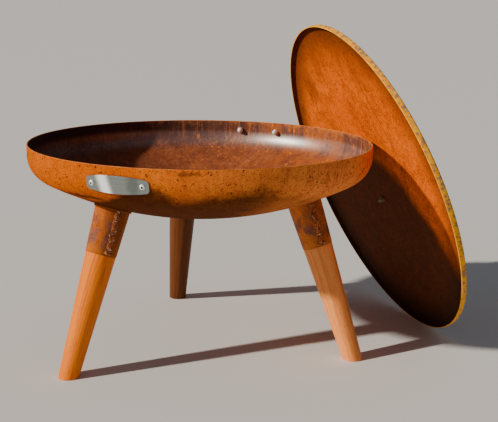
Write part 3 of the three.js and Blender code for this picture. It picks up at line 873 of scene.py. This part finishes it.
def cut_level(shape, leg_frame):
    """Cuts the foot off at the ground and rounds the new edge over."""
    bmesh.ops.transform(shape, matrix=leg_frame, verts=shape.verts)
    whole = shape.verts[:] + shape.edges[:] + shape.faces[:]
    plane = dict(plane_co=(0, 0, 0), plane_no=(0, 0, 1), clear_inner=True)
    cut = bmesh.ops.bisect_plane(shape, geom=whole, **plane)["geom_cut"]
    ring = [item for item in cut if isinstance(item, bmesh.types.BMEdge)]
    bmesh.ops.edgeloop_fill(shape, edges=ring)
    round_over = dict(offset=FOOT_EASE, offset_type="OFFSET", segments=4, profile=0.5, affect="EDGES")
    bmesh.ops.bevel(shape, geom=ring, material=-1, clamp_overlap=True, **round_over)
    bmesh.ops.recalc_face_normals(shape, faces=shape.faces)


for leg, leg_frame in enumerate(leg_frames):
    number = leg + 1
    wooden = build_leg()
    cut_level(wooden, leg_frame)
    wood = leg_wood(f"wood {number}", leg, LEG_TONES[leg], number)
    name = f"leg_{number}"
    new_piece(f"wooden_{name}", wooden, Matrix(), name, [wood], [name])

# %% [markdown]
# ## The joint inside a sleeve
#
# A hanger stud stands in the top of each leg and screws into a steel plate in the sleeve. The
# thread is a zigzag, spun once round while it climbs by one pitch, which makes a true helix;
# two planes then trim it to length.

# %% Zinc plate and thread


def zinc():
    finish = Finish("zinc", 1.0)
    here = finish.place()
    spangle = finish.noise(here, 160, 4, 0.6)
    scuffs = finish.noise(finish.stretched(here, (1, 1, 4)), 300, 3, 0.7)
    colour = finish.ramp(spangle, (0.3, (0.3, 0.31, 0.32)), (0.7, (0.5, 0.5, 0.5)))
    rough = (scuffs * 0.35 + 0.22).clamped()
    return finish.wear(colour=colour, roughness=rough, normal=finish.bump(scuffs, 0.0002))


zinc_plated = zinc()
PITCH = 1.5
THREAD_DEPTH = 0.8
THREAD_STEPS = 30
STUD_PAST_PLATE = 5


def build_thread(low, high):
    shape = bmesh.new()
    count = math.ceil((high - low) / PITCH) + 2
    verts = []
    for tooth in range(count):
        base = low + (tooth - 1) * PITCH
        verts.append(shape.verts.new((STUD_RADIUS - THREAD_DEPTH, 0, base)))
        verts.append(shape.verts.new((STUD_RADIUS, 0, base + PITCH / 2)))
    verts.append(shape.verts.new((STUD_RADIUS - THREAD_DEPTH, 0, low + (count - 1) * PITCH)))
    edges = [shape.edges.new(pair) for pair in zip(verts, verts[1:])]
    spun = dict(axis=(0, 0, 1), cent=(0, 0, 0), angle=2 * math.pi, steps=THREAD_STEPS)
    bmesh.ops.spin(shape, geom=verts + edges, dvec=(0, 0, PITCH / THREAD_STEPS), **spun)
    bmesh.ops.remove_doubles(shape, verts=shape.verts, dist=0.01)
    for height, side in ((low, -1), (high, 1)):
        whole = shape.verts[:] + shape.edges[:] + shape.faces[:]
        plane = dict(plane_co=(0, 0, height), plane_no=(0, 0, side), clear_outer=True)
        cut = bmesh.ops.bisect_plane(shape, geom=whole, **plane)["geom_cut"]
        ring = [item for item in cut if isinstance(item, bmesh.types.BMEdge)]
        bmesh.ops.edgeloop_fill(shape, edges=ring)
    bmesh.ops.recalc_face_normals(shape, faces=shape.faces)
    return shape


tenon_top = mouth + TENON_LENGTH
plate_low = tenon_top + 2 * GAP
plate_high = plate_low + PLATE_THICKNESS
for leg, leg_frame in enumerate(leg_frames):
    number = leg + 1
    bottom = sleeve_radius(plate_low) - SOCKET_WALL - GAP
    top = sleeve_radius(plate_high) - SOCKET_WALL - GAP
    hole = STUD_RADIUS + GAP
    section = [(hole, plate_low + 0.5), (hole + 0.5, plate_low), (bottom - 0.6, plate_low)]
    section += [(bottom, plate_low + 0.6), (top, plate_high - 0.6), (top - 0.6, plate_high)]
    section += [(hole + 0.5, plate_high), (hole, plate_high - 0.5), (hole, plate_low + 0.5)]
    plate = turned(section, 72)
    name = f"socket_plate_{number}"
    new_piece(f"threaded_plate_{number}", plate, leg_frame, "stand", [zinc_plated], [name])
    thread = build_thread(tenon_top - STUD_IN_LEG + GAP, plate_high + STUD_PAST_PLATE)
    name, body = f"leg_stud_{number}", f"leg_{number}"
    new_piece(f"hanger_stud_{number}", thread, leg_frame, body, [zinc_plated], [name])

# %% [markdown]
# ## Stainless fasteners
#
# A domed nut is turned first and then made six-sided: each point moves in to the hexagon where
# it stands outside it. The chamfered corners of a real nut appear by themselves. The recess of
# a button-head screw is the same trick, on the points of its pocket alone.

# %% Stainless


def stainless(name, metallic, tones, roughness):
    """Tumbled steel: fine scratches over a soft smear."""
    finish = Finish(name, metallic)
    here = finish.place()
    scratches = finish.noise(here, 900, 2, 0.6)
    smear = finish.noise(here, 60, 3, 0.5)
    colour = finish.ramp(scratches * 0.6 + smear * 0.4, (0.35, tones[0]), (0.65, tones[1]))
    rough = ((scratches - 0.5) * 0.1 + (smear - 0.5) * 0.1 + roughness).clamped()
    return finish.wear(colour=colour, roughness=rough, normal=finish.bump(scratches, 0.00006))


NUT_DOME = 0.47  # radius of the dome, against the width across flats
NUT_CHAMFER = 0.9
# Painted highlight: the nut and screw steel is near white and little metallic, so it shows bright as a
# reflection of the sky would.
PAINTED_BRIGHT_NUT_TONES = ((0.85, 0.87, 0.88), (0.98, 1.0, 1.0))
# Painted shade: the lid's nuts get dark tones, as they stand in shade.
PAINTED_SHADE_NUT_TONES = ((0.1, 0.085, 0.05), (0.3, 0.26, 0.16))
nut_steel = stainless("nut steel", 0.25, PAINTED_BRIGHT_NUT_TONES, 0.36)
shaded_nut_steel = stainless("painted shade nut steel", 0.5, PAINTED_SHADE_NUT_TONES, 0.5)


def made_hexagonal(shape, flats, only=lambda vert: True):
    """Pulls points in to a hexagon of a given width across its flats."""
    for vert in filter(only, shape.verts):
        reach = math.hypot(vert.co.x, vert.co.y)
        side = (math.degrees(math.atan2(vert.co.y, vert.co.x)) % 60) - 30
        limit = flats / 2 / math.cos(math.radians(side))
        if reach > limit:
            vert.co.x *= limit / reach
            vert.co.y *= limit / reach


def build_nut(flats, height, overall, bore, depth, seat):
    corners = flats / math.sqrt(3)
    dome = flats * NUT_DOME
    low = seat - height
    section = [(0, seat - depth), (bore / 2 + GAP, seat - depth), (bore / 2 + GAP, seat)]
    section += [(dome, seat), (flats / 2, seat - 0.15), (corners, seat - NUT_CHAMFER)]
    section += [(corners, low + NUT_CHAMFER), (flats / 2, low + 0.15), (dome, low)]
    section += [(r, 2 * low - z) for r, z in arc((0, low), dome, 0, 90, 10)]
    squash = (overall - height) / dome
    section = [(r, low + (z - low) * squash) if z < low else (r, z) for r, z in section]
    nut = turned(section, 48)
    made_hexagonal(nut, flats)
    return nut


def nut_seat(flats):
    """How far in a nut sits, so that its corners clear the curved wall."""
    corners = flats / math.sqrt(3)
    inner = KNUCKLE_RADIUS - BOWL_WALL
    facets = KNUCKLE_RADIUS * (1 - math.cos(math.radians(meeting_angle) / 8))
    return -BOWL_WALL - GAP - facets - (inner - math.sqrt(inner**2 - corners**2))


BADGE_NUT = dict(flats=10, height=5, overall=12, bore=6, depth=8, seat=nut_seat(10))
WALL_NUT = dict(flats=13, height=6.5, overall=15, bore=8, depth=11, seat=nut_seat(13))
LID_NUT = dict(WALL_NUT, seat=-LID_SHEET - GAP)
BADGE_AZIMUTH, BADGE_PITCH, BADGE_DROP = 229.1, 115, 37.3
HANDLE_AZIMUTH, HANDLE_PITCH, HANDLE_DROP = 51.3, 102, 24
badge_stations = pair_of_stations(BADGE_AZIMUTH, BADGE_PITCH, BADGE_DROP)
handle_stations = pair_of_stations(HANDLE_AZIMUTH, HANDLE_PITCH, HANDLE_DROP)
for number, (badge_station, handle_station) in enumerate(zip(badge_stations, handle_stations), 1):
    for name, sizes, station in (
        (f"badge_nut_{number}", BADGE_NUT, badge_station),
        (f"rear_handle_nut_{number}", WALL_NUT, handle_station),
    ):
        placed = station @ turn(13 * number, "Z")
        new_piece(f"domed_{name}", build_nut(**sizes), placed, "stand", [nut_steel], [name])

# %% Button-head screws
SCREW_SHANK, SCREW_HEAD, SCREW_RISE, HEX_KEY = 6, 12, 3.4, 4.6
BADGE_THICKNESS = 2


def build_screw():
    seat = 2 * GAP + BADGE_THICKNESS
    tip = BADGE_NUT["seat"] - BADGE_NUT["depth"] + GAP
    corners = HEX_KEY / math.sqrt(3)
    flank = math.degrees(math.acos(corners / (SCREW_HEAD / 2)))
    dome = [(r, seat + 0.3 + z * (SCREW_RISE - 0.3)) for r, z in arc((0, 0), 1, flank, 0, 10)]
    dome = [(r * SCREW_HEAD / 2, z) for r, z in dome]
    section = [(0, seat + 0.7), (corners, seat + 1.0)] + dome
    section += [(SCREW_HEAD / 2 - 0.3, seat), (SCREW_SHANK / 2, seat), (SCREW_SHANK / 2, tip + 0.6)]
    section += [(SCREW_SHANK / 2 - 0.6, tip), (0, tip)]
    screw = turned(section, 48)
    pocket = corners + 0.01
    made_hexagonal(screw, HEX_KEY, lambda v: v.co.z > seat + 0.5 and v.co.xy.length < pocket)
    for face in screw.faces:
        if face.calc_center_median().z > seat + 0.5 and all(v.co.xy.length < pocket for v in face.verts):
            face.material_index = 1
    return screw


def pocket_shade():
    # Painted shade: the hex pocket of a screw is near black, as a recess in shade.
    finish = Finish("screw pocket", 0.3)
    pocket_mottle = finish.noise(finish.place(), 900, 3)
    colour = finish.ramp(pocket_mottle, (0.35, (0.008, 0.008, 0.008)), (0.7, (0.04, 0.035, 0.03)))
    return finish.wear(colour=colour, roughness=pocket_mottle * 0.3 + 0.5)


painted_pocket_shade = pocket_shade()
for number, station in enumerate(badge_stations, 1):
    placed = station @ turn(22 * number, "Z")
    name = f"badge_screw_{number}"
    screw_finishes = [nut_steel, painted_pocket_shade]
    new_piece(f"button_{name}", build_screw(), placed, "stand", screw_finishes, [name])

# %% [markdown]
# ## The badge
#
# A blank plate of brushed stainless steel, wider in the middle, with round corners. It starts
# as a grid, is drawn in to its outline, gets its thickness and a fine bevel, and is then rolled
# to the wall: the same steps as in the workshop.

# %% Build the badge
BADGE_LENGTH, BADGE_END, BADGE_MIDDLE, BADGE_CORNER = 143, 26.5, 39.5, 7


def badge_half_height(along):
    """Half the plate's height at a distance from its middle, with the corners rounded."""
    share = min(abs(along) / (BADGE_LENGTH / 2), 1)
    half = BADGE_MIDDLE / 2 - (BADGE_MIDDLE - BADGE_END) / 2 * share**2
    past = max(abs(along) - (BADGE_LENGTH / 2 - BADGE_CORNER), 0)
    return half - BADGE_CORNER + math.sqrt(max(BADGE_CORNER**2 - past**2, 0))


def build_badge():
    badge = bmesh.new()
    bmesh.ops.create_grid(badge, x_segments=72, y_segments=16, size=1)
    for vert in badge.verts:
        along = math.sin(vert.co.x * math.pi / 2) * BADGE_LENGTH / 2
        vert.co = Vector((along, vert.co.y * badge_half_height(along), 0))
    bmesh.ops.recalc_face_normals(badge, faces=badge.faces)
    raised = bmesh.ops.extrude_face_region(badge, geom=badge.faces[:])["geom"]
    lifted = [item for item in raised if isinstance(item, bmesh.types.BMVert)]
    bmesh.ops.translate(badge, verts=lifted, vec=(0, 0, BADGE_THICKNESS))
    bmesh.ops.recalc_face_normals(badge, faces=badge.faces)
    rims = [edge for edge in badge.edges if edge.calc_face_angle(0) > 1]
    fine = dict(offset=0.45, offset_type="OFFSET", segments=3, profile=0.5, affect="EDGES")
    bmesh.ops.bevel(badge, geom=rims, material=-1, clamp_overlap=True, **fine)
    tilt = math.radians(wall_lean(BADGE_DROP))
    for vert in badge.verts:
        up, out = vert.co.y, vert.co.z + GAP
        radius = wall_radius(BADGE_DROP) + up * math.sin(tilt) + out * math.cos(tilt)
        height = RIM_HEIGHT - BADGE_DROP + up * math.cos(tilt) - out * math.sin(tilt)
        around = math.radians(BADGE_AZIMUTH) + math.asin(vert.co.x / radius)
        vert.co = Vector((radius * math.cos(around), radius * math.sin(around), height))
    return badge


def badge_finish():
    """Brushed along its length, with a leaning painted highlight band and a painted dark reflection beyond
    it.
    """
    finish = Finish("badge steel")
    here = finish.place(bowl_frame @ turn(BADGE_AZIMUTH, "Z"))
    _, along, up = finish.parts(here)
    strokes = finish.noise(finish.stretched(here, (0.02, 0.002, 3.6)), 900, 2, 0.6)
    smear = finish.noise(here, 60, 3, 0.5)
    # Painted light: a white, less metallic band stands for the sun's highlight, and a darker stretch for a
    # dark reflection.
    from_highlight = along + 0.029 + (up - 0.453) * 0.25 + (strokes - 0.5) * 0.006
    painted_highlight = from_highlight.size().step(0.02, 0.004)
    painted_dark_reflection = (along - 0.038 + (smear - 0.5) * 0.03).size().step(0.02, 0.002)
    colour = finish.ramp(strokes, (0.3, (0.22, 0.25, 0.24)), (0.7, (0.46, 0.5, 0.48)))
    colour = finish.mix(painted_dark_reflection * 0.55, colour, (0.13, 0.16, 0.15))
    colour = finish.mix(painted_highlight, colour, (0.97, 1.0, 0.98))
    rough = ((strokes - 0.5) * 0.12 + (smear - 0.5) * 0.1 + 0.32).clamped()
    relief = finish.bump(strokes, 0.0002)
    metal = (1 - painted_highlight * 0.85).clamped()
    return finish.wear(colour=colour, roughness=rough, metallic=metal, normal=relief)


badge_steel = badge_finish()
new_piece("badge", build_badge(), bowl_frame, "stand", [badge_steel], ["badge_plate"])

# %% [markdown]
# ## Handles
#
# A handle is round bar: straight out, a bend, the grip, a bend and straight back. Extruding a
# ring of edges makes the straights and spinning it makes the bends, so the bar keeps its
# roundness everywhere. Its ends are necked down to studs that go through the sheet.

# %% Bar work
HANDLE_BAR, HANDLE_STUD, HANDLE_BEND = 6, 4, 16


def edges_of(items):
    return [item for item in items if isinstance(item, bmesh.types.BMEdge)]


def verts_of(items):
    return [item for item in items if isinstance(item, bmesh.types.BMVert)]


def drawn(shape, ring, move):
    """Extends a bar straight on."""
    made = bmesh.ops.extrude_edge_only(shape, edges=ring)["geom"]
    moved = verts_of(made)
    bmesh.ops.translate(shape, verts=moved, vec=move)
    return [edge for edge in edges_of(made) if all(vert in moved for vert in edge.verts)]


def bent(shape, ring, centre, axis, degrees, steps):
    """Extends a bar round a bend."""
    ends = list({vert for edge in ring for vert in edge.verts})
    spun = dict(cent=centre, axis=axis, angle=math.radians(degrees), steps=steps)
    last = bmesh.ops.spin(shape, geom=ring + ends, **spun)["geom_last"]
    return edges_of(last)


def necked(shape, ring, move):
    """Closes a bar's end and carries a thinner stud on from it."""
    cap = bmesh.ops.edgeloop_fill(shape, edges=ring)["faces"]
    bmesh.ops.inset_region(shape, faces=cap, thickness=HANDLE_BAR - HANDLE_STUD)
    stud = bmesh.ops.extrude_discrete_faces(shape, faces=cap)["faces"]
    tip = list({vert for face in stud for vert in face.verts})
    bmesh.ops.translate(shape, verts=tip, vec=move)


def bar_end(shape, place, matrix):
    ring = bmesh.ops.create_circle(shape, segments=24, radius=HANDLE_BAR, matrix=shift(*place) @ matrix)
    return list({edge for vert in ring["verts"] for edge in vert.link_edges})


def handle_rust():
    finish = Finish("handle rust", 0.15)
    here = finish.place()
    _, cloud, grain, pits = rust_grain(finish, finish.stretched(here, (2, 2, 2)))
    colour = finish.ramp(
        cloud + (grain - 0.5) * 0.5,
        (0.3, (0.06, 0.018, 0.01)),
        (0.55, (0.2, 0.055, 0.018)),
        (0.8, (0.48, 0.15, 0.03)),
    )
    colour = finish.mix(pits * 0.7, colour, (0.03, 0.01, 0.008))
    rough = (grain * 0.3 + 0.42).clamped()
    return finish.wear(colour=colour, roughness=rough, normal=rust_relief(finish, grain, pits, 0.0004))


handle_steel = handle_rust()

# %% Build the rear handle
HANDLE_REACH = 46
BEND_STEPS, GRIP_STEPS = 14, 24


def build_rear_handle():
    near = wall_radius(HANDLE_DROP) + 2 * GAP
    far = wall_radius(HANDLE_DROP) + HANDLE_REACH
    half = math.degrees(math.asin(HANDLE_PITCH / 2 / wall_radius(HANDLE_DROP)))
    hub = far - HANDLE_BEND
    slip = math.degrees(math.asin(HANDLE_BEND / hub))
    depth = -(WALL_NUT["seat"] - WALL_NUT["depth"] + GAP) + 2 * GAP

    def at(radius, degrees):
        angle = math.radians(degrees)
        return Vector((radius * math.cos(angle), radius * math.sin(angle), 0))

    bar = bmesh.new()
    first = bar_end(bar, at(near, -half), turn(-half, "Z") @ turn(90, "Y"))
    straight = at(hub * math.cos(math.radians(slip)) - near, -half)
    ring = drawn(bar, first, straight)
    ring = bent(bar, ring, at(hub, slip - half), (0, 0, 1), 90 + slip, BEND_STEPS)
    ring = bent(bar, ring, (0, 0, 0), (0, 0, 1), 2 * (half - slip), GRIP_STEPS)
    ring = bent(bar, ring, at(hub, half - slip), (0, 0, 1), 90 + slip, BEND_STEPS)
    last = drawn(bar, ring, -at(hub * math.cos(math.radians(slip)) - near, half))
    necked(bar, first, -at(depth, -half))
    necked(bar, last, -at(depth, half))
    bmesh.ops.remove_doubles(bar, verts=bar.verts, dist=MERGE)
    bmesh.ops.recalc_face_normals(bar, faces=bar.faces)
    return bar


rear_frame = bowl_frame @ turn(HANDLE_AZIMUTH, "Z") @ shift(0, 0, RIM_HEIGHT - HANDLE_DROP)
rear_grip = build_rear_handle()
new_piece("rear_grip", rear_grip, rear_frame, "stand", [handle_steel], ["rear_handle"])

# %% [markdown]
# ## The lid
#
# The lid is a flat disc with a narrow turned flange that drops over the rim. Its underside has
# rusted to a mottled orange, darker towards the flange, partly from rust and partly from painted
# shade, with a painted shadow of the bowl low down. The flange itself is yellower, with grey
# speckles and a bright free edge.

# %% Lid finishes


def lid_rust(name, underside):
    """Mottled orange with a dark border, partly rust and partly painted shade, and on the underside a
    painted shadow of the bowl low down.
    """
    finish = Finish(name, **MATT)
    here = finish.place(lid_frame)
    x, y, _ = finish.parts(here)
    blotch, cloud, grain, pits = rust_grain(finish, here)
    mottle = finish.noise(here, 150, 5, 0.75, 0.4)
    reach = (x * x + y * y).root()
    tone = (blotch - 0.5) * 0.6 + (cloud - 0.5) * 0.6 + (mottle - 0.5) * 1.1 + (grain - 0.5) * 0.7 + 0.5
    colour = finish.ramp(
        tone,
        (0.1, (0.16, 0.027, 0.002)),
        (0.38, (0.5, 0.085, 0.0008)),
        (0.6, (0.74, 0.132, 0.0006)),
        (0.9, (0.92, 0.22, 0.002)),
    )
    # Darker towards the flange: partly rust, and on the inner flange painted shade.
    border_rust_and_shade = (reach + (cloud - 0.5) * 0.09 + (mottle - 0.5) * 0.05).step(0.31, 0.398)
    colour = finish.mix(border_rust_and_shade * 0.84, colour, (0.085, 0.024, 0.008))
    if underside:
        crest = (x + (blotch - 0.5) * 0.25).step(-0.2, -0.4)
        colour = finish.mix(crest * 0.35, colour, (0.16, 0.035, 0.004))
        # Painted shadow: a dark oval low on the underside, where the bowl's shadow falls on the lid.
        wide, tall = (x - 0.3) * (1 / 0.385), (y - 0.1) * (1 / 0.445)
        painted_shadow = ((wide * wide + tall * tall).root() + (blotch - 0.5) * 0.14).step(1.08, 0.95)
        painted_shadow_tones = finish.mix(mottle, (0.022, 0.013, 0.009), (0.06, 0.03, 0.019))
        colour = finish.mix(painted_shadow * 0.9, colour, painted_shadow_tones)
        mark = worn_line(x, y, cloud)
        blot = ((x + 0.225) * (x + 0.225) + (y - 0.215) * (y - 0.215)).root()
        blot = (blot + (cloud - 0.5) * 0.12).step(0.07, 0.02)
        colour = finish.mix((mark * 0.35 + blot * 0.45).clamped(), colour, (0.1, 0.03, 0.01))
    colour = finish.mix(pits * 0.7, colour, (0.04, 0.012, 0.006))
    rough = (grain * 0.2 + 0.68).clamped()
    return finish.wear(colour=colour, roughness=rough, normal=rust_relief(finish, grain, pits, 0.0007))


def worn_line(x, y, cloud):
    """A faint dark line across the sheet, where a strap lay in the rain."""
    across = (x * 0.45 + y * 0.893 + 0.2231 + (cloud - 0.5) * 0.01).size().step(0.004, 0.001)
    return across * x.step(-0.07, -0.12) * x.step(-0.36, -0.33)


def flange_rust():
    """Yellow rust with grey speckles and a rubbed free edge."""
    finish = Finish("lid flange", **MATT)
    here = finish.place(lid_frame)
    _, _, z = finish.parts(here)
    cloud = finish.noise(here, 60, 5, 0.65)
    grain = finish.noise(here, 420, 3, 0.7)
    speckle = finish.noise(here, 82, 3, 0.75, 0.6)
    colour = finish.ramp(
        cloud + (grain - 0.5) * 0.5,
        (0.25, (0.7, 0.2, 0.003)),
        (0.5, (1.0, 0.4, 0.004)),
        (0.8, (1.0, 0.56, 0.008)),
    )
    colour = finish.mix(speckle.step(0.5, 0.56) * 0.8, colour, (0.2, 0.13, 0.12))
    free = z.step(-0.0115, -0.0145)
    colour = finish.mix(free * 0.5, colour, (0.95, 0.45, 0.03))
    rough = (grain * 0.25 + 0.5).clamped()
    return finish.wear(colour=colour, roughness=rough, normal=finish.bump(grain + speckle * 0.5, 0.0005))


lid_under = lid_rust("lid underside", True)
lid_over = lid_rust("lid top", False)
flange = flange_rust()

# %% Build the lid
RINGS = (0, 90, 180, 270, 350, 385)
bend_middle = LID_RADIUS - LID_BEND_RADIUS
lid_inside = LID_RADIUS - LID_SHEET
EDGE_ROUND = 1.2
section = [(radius, 0) for radius in RINGS]
section += arc((bend_middle, -LID_BEND_RADIUS), LID_BEND_RADIUS, 90, 0, 8)
section += arc((LID_RADIUS - EDGE_ROUND, -LID_FLANGE + EDGE_ROUND), EDGE_ROUND, 0, -90, 4)
section += arc((lid_inside + EDGE_ROUND, -LID_FLANGE + EDGE_ROUND), EDGE_ROUND, -90, -180, 4)
section += arc((bend_middle, -LID_BEND_RADIUS), LID_BEND_RADIUS - LID_SHEET, 0, 90, 5)
section += [(radius, -LID_SHEET) for radius in RINGS[::-1]]
lid = turned(section, 256)
for face in lid.faces:
    middle = face.calc_center_median()
    if middle.xy.length > lid_inside + 0.3 and face.normal.z < 0.7:
        face.material_index = 2
    elif face.normal.z > 0.5:
        face.material_index = 1
lid_materials = [lid_under, lid_over, flange]
new_piece("lid_sheet", lid, lid_frame, "lid", lid_materials, ["lid"])

# %% Build the lid's handle
LID_HANDLE_PITCH, LID_HANDLE_REACH, LID_HANDLE_TURN = 118, 44, -31.5


def build_lid_handle():
    half = LID_HANDLE_PITCH / 2
    rise = LID_HANDLE_REACH - HANDLE_BEND
    depth = -(LID_NUT["seat"] - LID_NUT["depth"] + GAP) + 2 * GAP
    bar = bmesh.new()
    first = bar_end(bar, (-half, 0, 2 * GAP), Matrix())
    ring = drawn(bar, first, (0, 0, rise - 2 * GAP))
    ring = bent(bar, ring, (HANDLE_BEND - half, 0, rise), (0, 1, 0), 90, BEND_STEPS)
    ring = drawn(bar, ring, (2 * (half - HANDLE_BEND), 0, 0))
    ring = bent(bar, ring, (half - HANDLE_BEND, 0, rise), (0, 1, 0), 90, BEND_STEPS)
    last = drawn(bar, ring, (0, 0, 2 * GAP - rise))
    necked(bar, first, (0, 0, -depth))
    necked(bar, last, (0, 0, -depth))
    bmesh.ops.remove_doubles(bar, verts=bar.verts, dist=MERGE)
    bmesh.ops.recalc_face_normals(bar, faces=bar.faces)
    return bar


handle_frame = lid_frame @ turn(LID_HANDLE_TURN, "Z")
lid_grip = build_lid_handle()
new_piece("lid_grip", lid_grip, handle_frame, "lid", [handle_steel], ["lid_handle"])
for number, side in enumerate((-1, 1), 1):
    placed = handle_frame @ shift(side * LID_HANDLE_PITCH / 2, 0, 0) @ turn(17 * number, "Z")
    name = f"lid_handle_nut_{number}"
    new_piece(f"domed_{name}", build_nut(**LID_NUT), placed, "lid", [shaded_nut_steel], [name])

# %% [markdown]
# ## Floor and light
#
# A plain pale floor runs far past the view. One soft sun stands low on the left, so the near
# wall of the bowl is lit and its inside lies half in shadow, and a pale world fills in.

# %% Floor and light
SUN_AZIMUTH, SUN_HEIGHT = 186, 27.3
floor_shape = bmesh.new()
bmesh.ops.create_grid(floor_shape, x_segments=2, y_segments=2, size=200)
floor_mesh = bpy.data.meshes.new("floor")
floor_shape.to_mesh(floor_mesh)
floor_shape.free()
floor_finish = Finish("floor", 0.0, **{"Roughness": 0.9, "Base Color": (0.74, 0.74, 0.74, 1)})
floor_mesh.materials.append(floor_finish.material)
floor = bpy.data.objects.new("floor", floor_mesh)
bpy.context.scene.collection.objects.link(floor)

sun_data = bpy.data.lights.new("key", "SUN")
sun_data.energy = 5.0
sun_data.angle = math.radians(2)
sun_data.color = (1, 0.91, 0.78)
sun = bpy.data.objects.new("key", sun_data)
sun.matrix_world = turn(SUN_AZIMUTH, "Z") @ turn(90 - SUN_HEIGHT, "Y")
bpy.context.scene.collection.objects.link(sun)

world = bpy.data.worlds.new("studio")
world.use_nodes = True
world.node_tree.nodes["Background"].inputs["Color"].default_value = (0.86, 0.92, 1, 1)
world.node_tree.nodes["Background"].inputs["Strength"].default_value = 0.16
bpy.context.scene.world = world
print("sun shines from azimuth", SUN_AZIMUTH, "and", SUN_HEIGHT, "degrees up")

# %% [markdown]
# ## Count the pieces
#
# The pieces must not change the size of the engineering model. The lesson ends by printing how
# many pieces it made and their faces.

# %% Count the pieces and finish
print("pieces:", len(piece_faces), "faces:", sum(piece_faces.values()))
